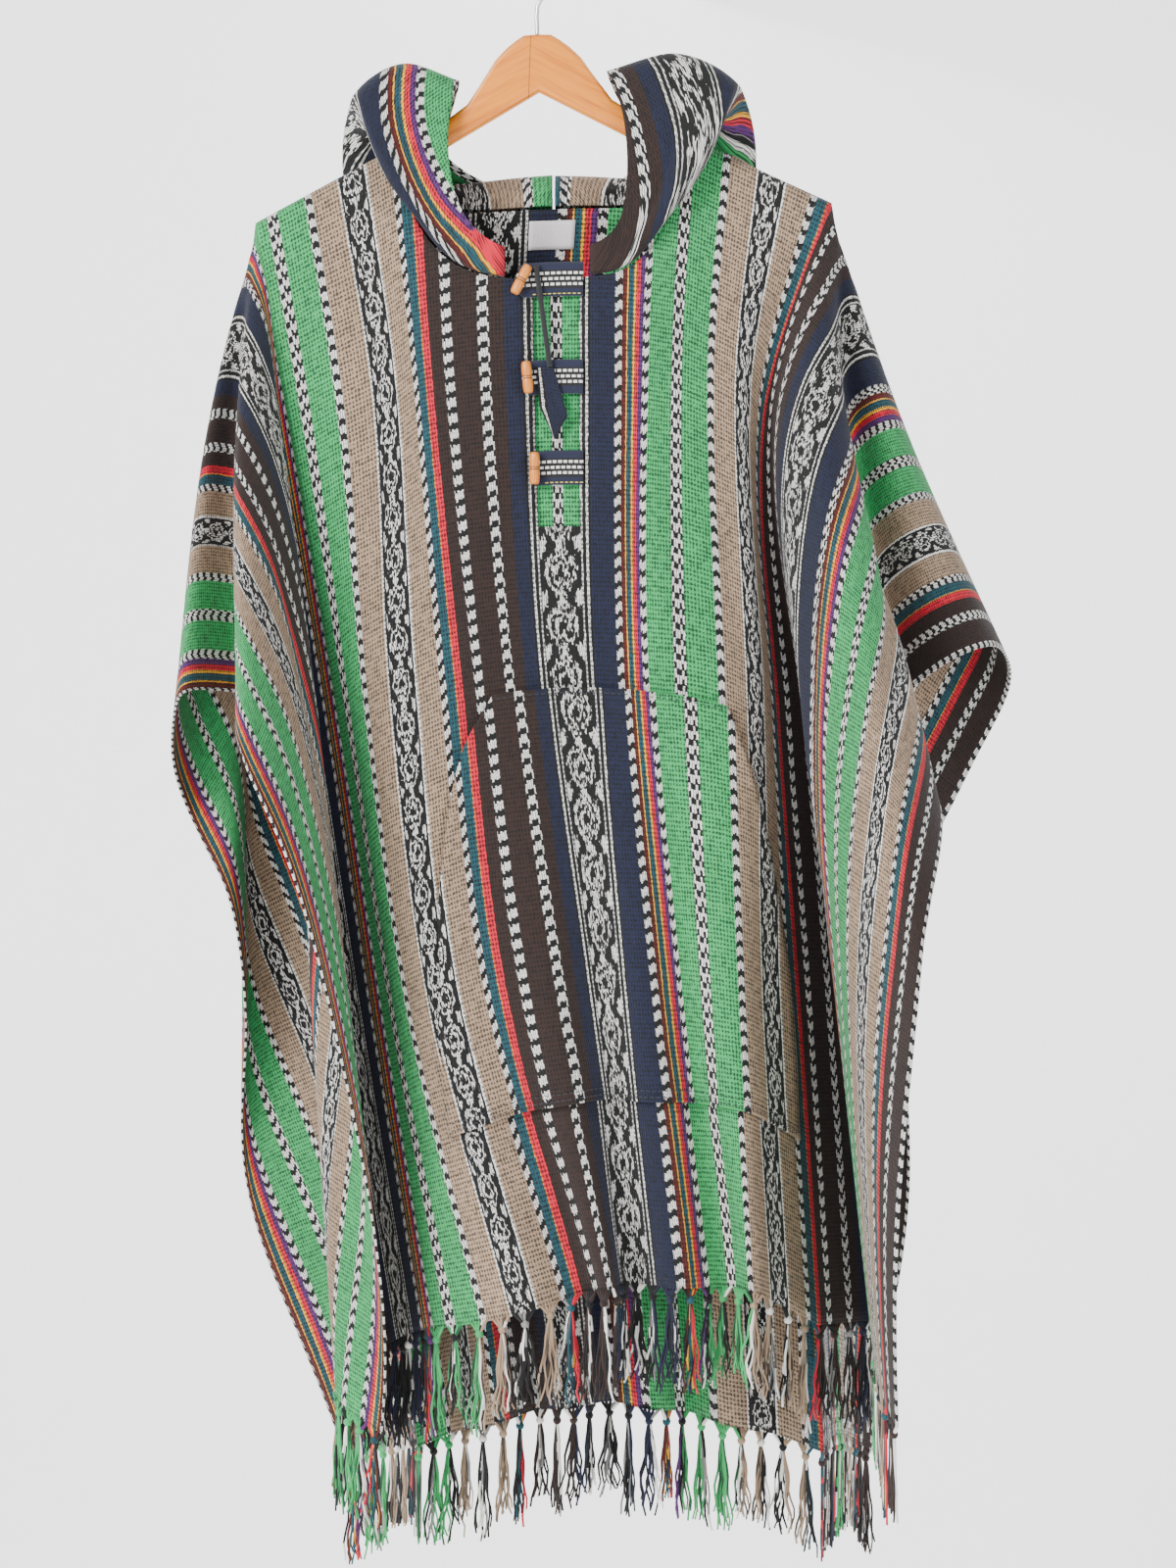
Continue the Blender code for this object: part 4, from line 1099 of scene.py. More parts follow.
@dataclass(frozen=True)
class Beech:
    """Lacquered wood whose grain runs along each arm of the hanger, with the joint at its middle.

    Attributes:
        slope: how far an arm falls for each metre out.
        joint: half width of the dark line where the arms meet.
    """

    slope: float = 0.52
    joint: float = 0.00035

    def build(self, name: str = "beech") -> bpy.types.Material:
        """Make the material.

        Args:
            name: the material's name.

        Returns:
            The material.
        """
        graph = Graph(name)
        source = graph.add("ShaderNodeTexCoord")
        parts = graph.add("ShaderNodeSeparateXYZ")
        graph.feed(parts.inputs[0], source.outputs["Object"])
        x, y, z = parts.outputs
        tilt = math.tan(HANGER_TILT)
        aside = graph.calc("SUBTRACT", x, graph.calc("MULTIPLY", z, tilt))
        out = graph.calc("ABSOLUTE", aside)
        across = graph.calc("ADD", z, graph.calc("MULTIPLY", out, self.slope))
        place = graph.add("ShaderNodeCombineXYZ")
        graph.feed(place.inputs[0], graph.calc("MULTIPLY", out, 0.06))
        graph.feed(place.inputs[1], y)
        graph.feed(place.inputs[2], across)
        rings = graph.noise(place.outputs[0], 160.0, 3.0)
        fibre = graph.noise(place.outputs[0], 900.0, 2.0)
        grain = graph.calc("ADD", graph.calc("MULTIPLY", rings, 0.7), graph.calc("MULTIPLY", fibre, 0.3))
        light, deep = linear(238, 148, 28), linear(190, 92, 10)
        wood = graph.ramp(grain, ((0.32, deep), (0.50, linear(224, 130, 20)), (0.70, light)), "LINEAR")
        line = graph.calc("LESS_THAN", out, self.joint)
        joined = graph.mix(graph.calc("MULTIPLY", line, 0.75), wood, linear(92, 52, 22))
        graph.feed(graph.shader.inputs["Base Color"], joined)
        graph.surface(0.38, coat=0.25)
        graph.bump(grain, 0.12, 0.0004)
        return graph.look


@dataclass(frozen=True)
class Bamboo:
    """The toggles' pale orange bamboo, with long fibres and two burnt lines.

    Attributes:
        line: half width of one burnt line.
        apart: from the toggle's middle to each line.
    """

    line: float = 0.00035
    apart: float = 0.0009

    def build(self, name: str = "bamboo") -> bpy.types.Material:
        """Make the material, which reads (round the toggle, up from its middle).

        Args:
            name: the material's name.

        Returns:
            The material.
        """
        graph = Graph(name)
        source = graph.add("ShaderNodeUVMap", uv_map="cloth")
        parts = graph.add("ShaderNodeSeparateXYZ")
        graph.feed(parts.inputs[0], source.outputs[0])
        stretch = graph.add("ShaderNodeMapping")
        stretch.inputs["Scale"].default_value = (1.0, 0.08, 1.0)
        graph.feed(stretch.inputs["Vector"], source.outputs[0])
        fibre = graph.noise(stretch.outputs[0], 1500.0, 3.0)
        wood = graph.ramp(fibre, ((0.3, linear(186, 92, 18)), (0.7, linear(232, 150, 48))), "LINEAR")
        height = graph.calc("ABSOLUTE", parts.outputs[1])
        off = graph.calc("ABSOLUTE", graph.calc("SUBTRACT", height, self.apart))
        burnt = graph.calc("LESS_THAN", off, self.line)
        tip = graph.add("ShaderNodeMapRange")
        graph.feed(tip.inputs["Value"], height)
        tip.inputs["From Min"].default_value = 0.0112
        tip.inputs["From Max"].default_value = 0.0130
        tip.inputs["To Max"].default_value = 0.45
        worn = graph.mix(tip.outputs[0], wood, linear(150, 88, 40))
        graph.feed(graph.shader.inputs["Base Color"], graph.mix(burnt, worn, linear(44, 24, 16)))
        graph.surface(0.42, coat=0.15)
        graph.bump(graph.calc("SUBTRACT", fibre, burnt), 0.3, 0.0004)
        return graph.look


@dataclass(frozen=True)
class PlainYarn:
    """A plain thread, cord or satin tape.

    Attributes:
        name: the material's name.
        colour: its linear colour.
        roughness: of the surface.
        scale: of its fibres, in waves for each metre.
        depth: of its relief.
    """

    name: str
    colour: Colour
    roughness: float = 0.85
    scale: float = 1400.0
    depth: float = 0.0004

    def build(self) -> bpy.types.Material:
        """Make the material.

        Returns:
            The material.
        """
        graph = Graph(self.name)
        source = graph.add("ShaderNodeTexCoord")
        fibre = graph.noise(source.outputs["Object"], self.scale, 3.0)
        dark = tuple(channel * 0.55 for channel in self.colour)
        graph.feed(
            graph.shader.inputs["Base Color"],
            graph.ramp(fibre, ((0.3, dark), (0.7, self.colour)), "LINEAR"),
        )
        graph.surface(self.roughness, sheen=0.15)
        graph.bump(fibre, 0.5, self.depth)
        return graph.look


@dataclass(frozen=True)
class HookSteel:
    """The hook's bright drawn wire."""

    roughness: float = 0.22

    def build(self, name: str = "hook steel") -> bpy.types.Material:
        """Make the material.

        Args:
            name: the material's name.

        Returns:
            The material.
        """
        graph = Graph(name)
        source = graph.add("ShaderNodeTexCoord")
        streak = graph.noise(source.outputs["Object"], 700.0, 2.0)
        tone = graph.ramp(streak, ((0.2, linear(176, 176, 180)), (0.8, linear(214, 214, 218))), "LINEAR")
        graph.feed(graph.shader.inputs["Base Color"], tone)
        graph.surface(self.roughness, metallic=1.0)
        graph.bump(streak, 0.08, 0.0002)
        return graph.look


@dataclass(frozen=True)
class Looks:
    """Every finish of the poncho and its hanger, made once."""

    striped: bpy.types.Material
    strap: bpy.types.Material
    bamboo: bpy.types.Material
    beech: bpy.types.Material
    steel: bpy.types.Material
    cord: bpy.types.Material
    label: bpy.types.Material
    dark_thread: bpy.types.Material
    gold_thread: bpy.types.Material

    @classmethod
    def make(cls) -> "Looks":
        """Build all the materials.

        Returns:
            The finishes.
        """
        return cls(
            striped=StripedWeave().build(),
            strap=StrapWeave().build(),
            bamboo=Bamboo().build(),
            beech=Beech().build(),
            steel=HookSteel().build(),
            cord=PlainYarn("black cord", linear(26, 26, 30), 0.9, 1800.0).build(),
            label=PlainYarn("label satin", linear(226, 220, 222), 0.55, 2600.0, 0.0001).build(),
            dark_thread=PlainYarn("dark thread", linear(30, 32, 46)).build(),
            gold_thread=PlainYarn("yellow thread", linear(222, 206, 88)).build(),
        )


@dataclass
class PonchoBody:
    """The one length of cloth that hangs over the hanger, front and back.

    Attributes:
        neck_steps: columns from the slit to the neck's corner.
        arm_steps: columns from the neck's corner to the hanger's end.
        fan_steps: columns from the hanger's end to the selvedge.
        ridge_steps: rows over half of the shoulder ridge.
        slit_steps: rows down the slit.
        front_steps: rows from the slit's end to the front hem.
        back_steps: rows down the back.
        back_neck_steps: rows of the back that even out the neck's curve.
        back_shift: how far the back's stripes are shifted at the neck.
    """

    neck_steps: int = 10
    arm_steps: int = 15
    fan_steps: int = 50
    ridge_steps: int = 5
    slit_steps: int = 34
    front_steps: int = 62
    back_steps: int = 104
    back_neck_steps: int = 16
    back_shift: float = 0.046

    def columns(self) -> list[float]:
        """Lay out the grid's columns.

        Returns:
            Across values from selvedge to selvedge.
        """
        first = math.asin(SLIT_HALF / NECK_HALF)
        half = [0.0, SLIT_HALF / 2, SLIT_HALF]
        half += [NECK_HALF * math.sin(angle) for angle in spaced(first, math.pi / 2, self.neck_steps)]
        half += spaced(NECK_HALF, ARM_HALF, self.arm_steps)
        half += spaced(ARM_HALF, HALF_WIDTH, self.fan_steps)
        return [-u for u in reversed(half[1:])] + half

    def lines(self) -> list[list[Place]]:
        """Lay out the grid, from the back hem over the shoulder to the front hem.

        Returns:
            Rows of cloth coordinates.
        """
        ridge = spaced(0.0, QUARTER, self.ridge_steps)
        front = ridge + spaced(QUARTER, SLIT_END, self.slit_steps)
        front += spaced(SLIT_END, FRONT_LENGTH, self.front_steps)
        back = ridge + spaced(QUARTER, BACK_LENGTH, self.back_steps)
        ways = (
            (1.0, front, FRONT_NECK, self.ridge_steps + self.slit_steps),
            (-1.0, back, BACK_NECK, self.ridge_steps + self.back_neck_steps),
        )
        halves = []
        for way, downs, curve, last in ways:
            rows = [[(u, way * down) for u in self.columns()] for down in downs]
            for c, u in enumerate(self.columns()):
                if abs(u) >= NECK_HALF:
                    continue
                start = neck_depth(u, curve)
                for r in range(self.ridge_steps - 1, last - 1):
                    t = (r - self.ridge_steps + 1) / (last - self.ridge_steps)
                    rows[r][c] = (u, way * (start + t * (downs[last - 1] - start)))
            halves.append(rows)
        middle = [[(u, 0.0) for u in self.columns()]]
        return list(reversed(halves[1])) + middle + halves[0]

    def is_open(self, lines: Sequence[Sequence[Place]], r: int, c: int) -> bool:
        """Whether a cell lies in the neck opening or in the slit.

        Args:
            lines: the grid's cloth coordinates.
            r: the cell's row.
            c: the cell's column.

        Returns:
            True where the cell is left out.
        """
        middle = (lines[r][c][0] + lines[r][c + 1][0]) / 2
        ridge_row = self.back_steps + self.ridge_steps
        in_ridge = ridge_row - self.ridge_steps < r + 1 <= ridge_row + self.ridge_steps
        slit_last = ridge_row + self.ridge_steps + self.slit_steps
        in_slit = abs(middle) < SLIT_HALF and ridge_row <= r < slit_last
        return in_slit or (abs(middle) < NECK_HALF and in_ridge)

    def thread(self, place: Place) -> Place:
        """Cloth coordinates as the stripes have them, with the back's shift at the neck.

        Args:
            place: cloth coordinates of the surface.

        Returns:
            Cloth coordinates of the stripes.
        """
        across, along = place
        if along >= 0:
            return place
        fade = (1 - eased(abs(across) / 0.25)) * eased(-along / 0.05)
        return across + self.back_shift * fade, along

    def build(self, looks: Looks) -> bpy.types.Object:
        """Make the cloth.

        Args:
            looks: every finish.

        Returns:
            The piece.
        """
        lines = self.lines()
        base = [[HUNG.place(*place) for place in line] for line in lines]
        places = []
        for r, line in enumerate(lines):
            row = []
            for c, place in enumerate(line):
                rise = HUNG.crease_height(*place)
                if rise:
                    before, after = max(c - 1, 0), min(c + 1, len(line) - 1)
                    side = base[r][after] - base[r][before]
                    down = base[min(r + 1, len(lines) - 1)][c] - base[max(r - 1, 0)][c]
                    row.append(base[r][c] + down.cross(side).normalized() * rise)
                else:
                    row.append(base[r][c])
            places.append(row)
        threads = [[self.thread(place) for place in line] for line in lines]
        piece = grid_sheet("poncho_cloth", places, threads, lambda r, c: self.is_open(lines, r, c))
        finish_piece(piece, looks.striped, "striped_cloth", "front", "back")
        return piece


class PocketStation(NamedTuple):
    """The pocket's two edges, in cloth metres across, at one share of its height."""

    share: float
    left: float
    right: float


POCKET_EDGES = (
    PocketStation(0.00, -0.072, 0.150),
    PocketStation(0.14, -0.108, 0.172),
    PocketStation(0.45, -0.138, 0.206),
    PocketStation(0.62, -0.146, 0.216),
    PocketStation(1.00, -0.172, 0.218),
)


@dataclass
class Pocket:
    """The kangaroo pocket, which lies on the front.

    Attributes:
        top: its top seam, down from the shoulder fold.
        foot: its foot seam.
        lift: of its middle off the front's.
        shift: how far its stripes stand to the right of the front's.
        columns: steps across.
        rows: steps down.
        edge_lift: how far the turned edges of the hand openings stand off.
    """

    top: float = 0.490 * FRONT_LENGTH
    foot: float = 0.842 * FRONT_LENGTH
    lift: float = 0.0040
    shift: float = 0.0064
    columns: int = 48
    rows: int = 44
    edge_lift: float = 0.0016

    def edges(self, share: float) -> Place:
        """Find the pocket's left and right edge.

        Args:
            share: of the pocket's height, from its top.

        Returns:
            Both edges, as across values.
        """
        knots = [edge.share for edge in POCKET_EDGES]
        left = through(knots, [edge.left for edge in POCKET_EDGES], share)
        right = through(knots, [edge.right for edge in POCKET_EDGES], share)
        return left, right

    def point(self, across: float, along: float, share: float, t: float) -> Vector:
        """Place a point of the pocket; the hand openings' edges stand a little off.

        Args:
            across: cloth coordinate of the front below.
            along: cloth coordinate of the front below.
            share: of the pocket's height, from its top.
            t: of its width, from the left.

        Returns:
            The point, in the middle of the cloth's thickness.
        """
        near = max(0.0, 1 - min(t, 1 - t) / 0.06)
        proud = self.edge_lift * eased(near) * eased(share / 0.1) * eased((1 - share) / 0.2)
        return lifted(self.lift + proud)(across, along)

    def build(self, looks: Looks) -> bpy.types.Object:
        """Make the pocket.

        Args:
            looks: every finish.

        Returns:
            The piece.
        """
        places, threads = [], []
        for r in range(self.rows + 1):
            share = r / self.rows
            along = self.top + share * (self.foot - self.top)
            left, right = self.edges(share)
            row, names = [], []
            for c in range(self.columns + 1):
                t = c / self.columns
                across = left + t * (right - left)
                row.append(self.point(across, along, share, t))
                names.append((across - self.shift, along + 0.017))
            places.append(row)
            threads.append(names)
        piece = grid_sheet("pocket_cloth", places, threads)
        return finish_piece(piece, looks.striped, "striped_cloth", "pocket")


@dataclass
class HoodHalf:
    """One half of the hood, lying down behind the neck.

    Attributes:
        side: 1 for the viewer's right, -1 for the left.
        node: the solid that it stands for.
        spread: how much wider than its sections it lies.
        throat: across value of its throat end on the neck's edge.
        edge_thread: cloth coordinate of the stripes at the face edge.
        thread_way: 1 where the stripes' coordinate grows from the face edge inwards.
        depth: of the hood, from the face edge to the centre seam.
        lift: of its neck seam above the neck's edge.
        inset: of its neck seam inside the neck's edge.
        seam_half_gap: half the gap between the two halves.
        stand: how far it keeps off the front and back.
        stand_rate: how soon it does so, going round the neck.
        first_layer: share of its height over which it does so.
        ridge_share: share of the neck's edge on each side of the shoulder that is straight.
        share_steps: steps round the neck.
        layer_steps: steps from the neck seam to the face edge.
        even_reach: cloth over which the stripes turn at the centre seam.
        throat_shift: how far the stripes stand aside at the throat.
    """

    side: int
    node: str
    spread: float
    throat: float
    edge_thread: float
    thread_way: float
    depth: float
    lift: float = 0.0026
    inset: float = 0.0045
    seam_half_gap: float = 0.0010
    stand: float = 0.0038
    stand_rate: float = 3.0
    first_layer: float = 0.035
    ridge_share: float = 0.06
    share_steps: int = 66
    layer_steps: int = 64
    even_reach: float = 0.022
    throat_shift: float = 0.0

    def neck_edge(self, share: float) -> Vector:
        """Place a point of the neck's edge.

        Args:
            share: 0 at the throat and 1 at the centre back.

        Returns:
            The point, in metres.
        """
        ridge = 0.5
        if share < ridge - self.ridge_share:
            first = math.asin(self.throat / NECK_HALF)
            angle = first + (math.pi / 2 - first) * share / (ridge - self.ridge_share)
            across = NECK_HALF * math.sin(angle)
            return HUNG.place(self.side * across, neck_depth(across, FRONT_NECK))
        if share > ridge + self.ridge_share:
            across = NECK_HALF * math.sin(math.pi / 2 * (1 - share) / (ridge - self.ridge_share))
            return HUNG.place(self.side * across, -neck_depth(across, BACK_NECK))
        over = (ridge - share) / self.ridge_share
        return HUNG.place(self.side * NECK_HALF, over * QUARTER)

    def point(self, share: float, t: float) -> Vector:
        """Place a point of the hood.

        Args:
            share: 0 at the throat and 1 at the centre back.
            t: 0 at the neck seam and 1 at the face edge.

        Returns:
            The point, in metres.
        """
        turn = math.pi * share
        outward = Vector((self.side * math.sin(turn), -math.cos(turn), 0.0))
        knots = [row.share for row in HOOD_SECTIONS]
        control = [Vector((-self.inset, self.lift))]
        for name in ("rise", "crest", "turn_in", "turn_out", "upper", "edge"):
            pairs = [Vector(getattr(row, name)) / 1000 for row in HOOD_SECTIONS]
            control.append(through(knots, pairs, share))
        place = through(HOOD_STATIONS, control, t)
        point = self.neck_edge(share)
        point.x += outward.x * place.x * self.spread + self.side * self.seam_half_gap
        clear = self.stand * min(max(self.stand_rate * outward.y, -1.0), 1.0) * eased(t / self.first_layer)
        point.y += outward.y * max(place.x, 0.0) * self.spread + clear
        point.z += place.y
        return point

    def build(self, looks: Looks) -> bpy.types.Object:
        """Make the half, with stripes along the face edge and down the centre back.

        Args:
            looks: every finish.

        Returns:
            The piece.
        """
        shares = [k / self.share_steps for k in range(self.share_steps + 1)]
        layers = [k / self.layer_steps for k in range(self.layer_steps + 1)]
        places = [[self.point(share, t) for t in layers] for share in shares]
        threads = []
        run = 0.0
        for r, share in enumerate(shares):
            line = places[r]
            if r:
                run += (line[0] - places[r - 1][0]).length
            rest = [0.0]
            for k in range(len(line) - 1, 0, -1):
                rest.append(rest[-1] + (line[k] - line[k - 1]).length)
            rest.reverse()
            seam = self.depth * share
            row = []
            for away in rest:
                low = min(away, seam)
                off = abs(away - seam) / self.even_reach
                inward = low - self.even_reach * 0.6931 * math.exp(-off)
                edge = self.edge_thread - self.throat_shift * (1 - eased(share / 0.55))
                row.append((edge + self.thread_way * max(inward, 0.0), away + run))
            threads.append(row)
        piece = grid_sheet(f"{self.node}_cloth", places, threads)
        return finish_piece(piece, looks.striped, "striped_cloth", self.node)


class Strap(NamedTuple):
    """One toggle strap: its share down the front, its left end and how its toggle leans."""

    share: float
    left: float
    lean: float
    gold_seam: bool


STRAPS = (
    Strap(0.140, -0.031, math.radians(27), True),
    Strap(0.224, -0.028, math.radians(-5), False),
    Strap(0.302, -0.024, math.radians(0), True),
)


class TurnedStep(NamedTuple):
    """One ring of a turned toggle: its height and width as shares of its length and radius."""

    height: float
    width: float


TOGGLE_STEPS = (
    TurnedStep(-0.50, 0.62),
    TurnedStep(-0.48, 0.80),
    TurnedStep(-0.42, 0.93),
    TurnedStep(-0.30, 1.00),
    TurnedStep(-0.12, 1.00),
    TurnedStep(-0.05, 0.95),
    TurnedStep(-0.035, 0.86),
    TurnedStep(-0.02, 0.93),
    TurnedStep(0.02, 0.93),
    TurnedStep(0.035, 0.86),
    TurnedStep(0.05, 0.95),
    TurnedStep(0.12, 1.00),
    TurnedStep(0.30, 1.00),
    TurnedStep(0.42, 0.93),
    TurnedStep(0.48, 0.80),
    TurnedStep(0.50, 0.62),
)


@dataclass
class Placket:
    """The slit's underlay, its three straps, their toggles, and the stitches that hold them.

    Attributes:
        underlay_half: half width of the green strip behind the slit.
        underlay_top: its top, down from the shoulder fold.
        underlay_foot: its foot.
        strap_right: right end of every strap.
        strap_half: half height of a strap.
        strap_lift: of a strap's middle off the front's.
        toggle_length: of a toggle.
        toggle_radius: of a toggle.
        toggle_inset: from a strap's left end to its toggle's axis.
        toggle_rest: gap between a strap and its toggle.
        underlay_thread: cloth coordinate of the stripes at the underlay's middle.
    """

    underlay_half: float = 0.031
    underlay_top: float = 0.145 * FRONT_LENGTH
    underlay_foot: float = 0.364 * FRONT_LENGTH
    strap_right: float = 0.0215
    strap_half: float = 0.0125
    strap_lift: float = 0.0026
    toggle_length: float = 0.026
    toggle_radius: float = 0.0042
    toggle_inset: float = 0.004
    toggle_rest: float = 0.0008
    underlay_thread: float = 0.1165

    def build_underlay(self, looks: Looks) -> bpy.types.Object:
        """Make the strip behind the slit, green with a dashed line down its middle.

        Args:
            looks: every finish.

        Returns:
            The piece.
        """
        surface = lifted(-self.strap_lift)
        places, threads = [], []
        for r in range(41):
            along = self.underlay_top + (self.underlay_foot - self.underlay_top) * r / 40
            row = [self.underlay_half * (k / 8 - 1) for k in range(17)]
            places.append([surface(u, along) for u in row])
            threads.append([(u + self.underlay_thread, along) for u in row])
        piece = grid_sheet("placket_strip", places, threads)
        return finish_piece(piece, looks.striped, "green_cloth", "placket_underlay")

    def build_strap(self, number: int, strap: Strap, looks: Looks) -> bpy.types.Object:
        """Make one strap with its rounded end under the toggle.

        Args:
            number: of the strap, from the top.
            strap: its sizes.
            looks: every finish.

        Returns:
            The piece.
        """
        surface = lifted(self.strap_lift)
        middle = strap.share * FRONT_LENGTH
        places, threads = [], []
        for r in range(11):
            height = r / 5 - 1
            rounded = self.strap_half * 0.7 * (1 - math.sqrt(1 - 0.85 * height * height))
            left = strap.left + rounded
            row = [left + (self.strap_right - left) * k / 16 for k in range(17)]
            along = middle + self.strap_half * 1.06 * height
            places.append([surface(u, along) for u in row])
            threads.append([(u, -self.strap_half * height) for u in row])
        piece = grid_sheet(f"strap_{number}_cloth", places, threads)
        return finish_piece(piece, looks.strap, "navy_cloth", f"strap_{number}")

    def build_toggle(self, number: int, strap: Strap, looks: Looks) -> bpy.types.Object:
        """Turn one bamboo toggle by extruding a disc ring by ring, and set it on its strap.

        Args:
            number: of the strap, from the top.
            strap: its sizes.
            looks: every finish.

        Returns:
            The piece.
        """
        first = TOGGLE_STEPS[0]
        deselect_all()
        bpy.ops.mesh.primitive_circle_add(
            vertices=28,
            radius=self.toggle_radius * first.width,
            fill_type="NGON",
            location=(0.0, 0.0, self.toggle_length * first.height),
        )
        piece = bpy.context.object
        piece.name = f"toggle_{number}_wood"
        bpy.ops.object.mode_set(mode="EDIT")
        for before, after in zip(TOGGLE_STEPS, TOGGLE_STEPS[1:]):
            rise = self.toggle_length * (after.height - before.height)
            bpy.ops.mesh.extrude_region_move(TRANSFORM_OT_translate={"value": (0.0, 0.0, rise)})
            grow = after.width / before.width
            bpy.ops.transform.resize(value=(grow, grow, 1.0))
        bpy.ops.mesh.select_all(action="SELECT")
        bpy.ops.mesh.normals_make_consistent(inside=False)
        bpy.ops.object.mode_set(mode="OBJECT")
        bpy.ops.object.transform_apply(location=True, rotation=True, scale=True)
        self.wrap_threads(piece)
        lift = self.strap_lift + 0.001 + self.toggle_rest + self.toggle_radius
        surface = lifted(lift)
        across = strap.left + self.toggle_inset
        along = strap.share * FRONT_LENGTH
        place = surface(across, along)
        down = surface(across, along + self.strap_half) - place
        pitch = math.atan2(down.y, -down.z)
        turn = Matrix.Rotation(pitch, 4, "X") @ Matrix.Rotation(strap.lean, 4, "Y")
        piece.data.transform(Matrix.Translation(place) @ turn)
        piece.data.shade_smooth()
        return finish_piece(piece, looks.bamboo, "bamboo", f"toggle_{number}")

    def wrap_threads(self, piece: bpy.types.Object) -> None:
        """Give a toggle the map that its material reads, round it and up from its middle.

        Args:
            piece: the toggle, still upright about its own middle.
        """
        layer = piece.data.uv_layers.new(name="cloth")
        for polygon in piece.data.polygons:
            for index in polygon.loop_indices:
                spot = piece.data.vertices[piece.data.loops[index].vertex_index].co
                around = abs(math.atan2(spot.y, spot.x)) * self.toggle_radius
                layer.data[index].uv = (around, spot.z)

    def build(self, looks: Looks) -> list[bpy.types.Object]:
        """Make the placket's pieces.

        Args:
            looks: every finish.

        Returns:
            The underlay and then the straps, without the toggles.
        """
        made = [self.build_underlay(looks)]
        for number, strap in enumerate(STRAPS, start=1):
            self.build_toggle(number, strap, looks)
            made.append(self.build_strap(number, strap, looks))
        return made


@dataclass
class Stitches:
    """A row of short thread stitches along a line, joined in one mesh.

    Attributes:
        length: of one stitch.
        pitch: from one stitch to the next.
        radius: of the thread.
    """

    length: float = 0.0036
    pitch: float = 0.0052
    radius: float = 0.00042

    def build(
        self, name: str, route: Sequence[Vector], look: bpy.types.Material, slot: str
    ) -> bpy.types.Object:
        """Lay stitches on a route of points.

        Args:
            name: the piece's name.
            route: points of the seam, already off the cloth.
            look: the thread's material.
            slot: not used.

        Returns:
            The joined stitches.
        """
        mesh = bmesh.new()
        walked, due = 0.0, self.pitch / 2
        for start, end in zip(route, route[1:]):
            span = (end - start).length
            while due < walked + span:
                at = start.lerp(end, (due - walked) / span)
                self.one(mesh, at, (end - start).normalized())
                due += self.pitch
            walked += span
        data = bpy.data.meshes.new(name)
        mesh.to_mesh(data)
        mesh.free()
        data.shade_smooth()
        piece = bpy.data.objects.new(name, data)
        bpy.context.scene.collection.objects.link(piece)
        return finish_piece(piece, look, slot)

    def one(self, mesh: bmesh.types.BMesh, middle: Vector, way: Vector) -> None:
        """Add one stitch: a thread with tapered ends.

        Args:
            mesh: the mesh that it joins.
            middle: of the stitch.
            way: its direction.
        """
        turn = way.to_track_quat("Z", "Y").to_matrix().to_4x4()
        rings = []
        for height, width in ((-0.5, 0.25), (-0.3, 1.0), (0.3, 1.0), (0.5, 0.25)):
            ring = []
            for k in range(5):
                angle = 2 * math.pi * k / 5
                spot = Vector((math.cos(angle), math.sin(angle), 0.0)) * self.radius * width
                spot.z = height * self.length
                ring.append(mesh.verts.new(middle + turn @ spot))
            rings.append(ring)
        for low, high in zip(rings, rings[1:]):
            for k in range(5):
                mesh.faces.new((low[k], low[(k + 1) % 5], high[(k + 1) % 5], high[k]))
        mesh.faces.new(list(reversed(rings[0])))
        mesh.faces.new(rings[-1])


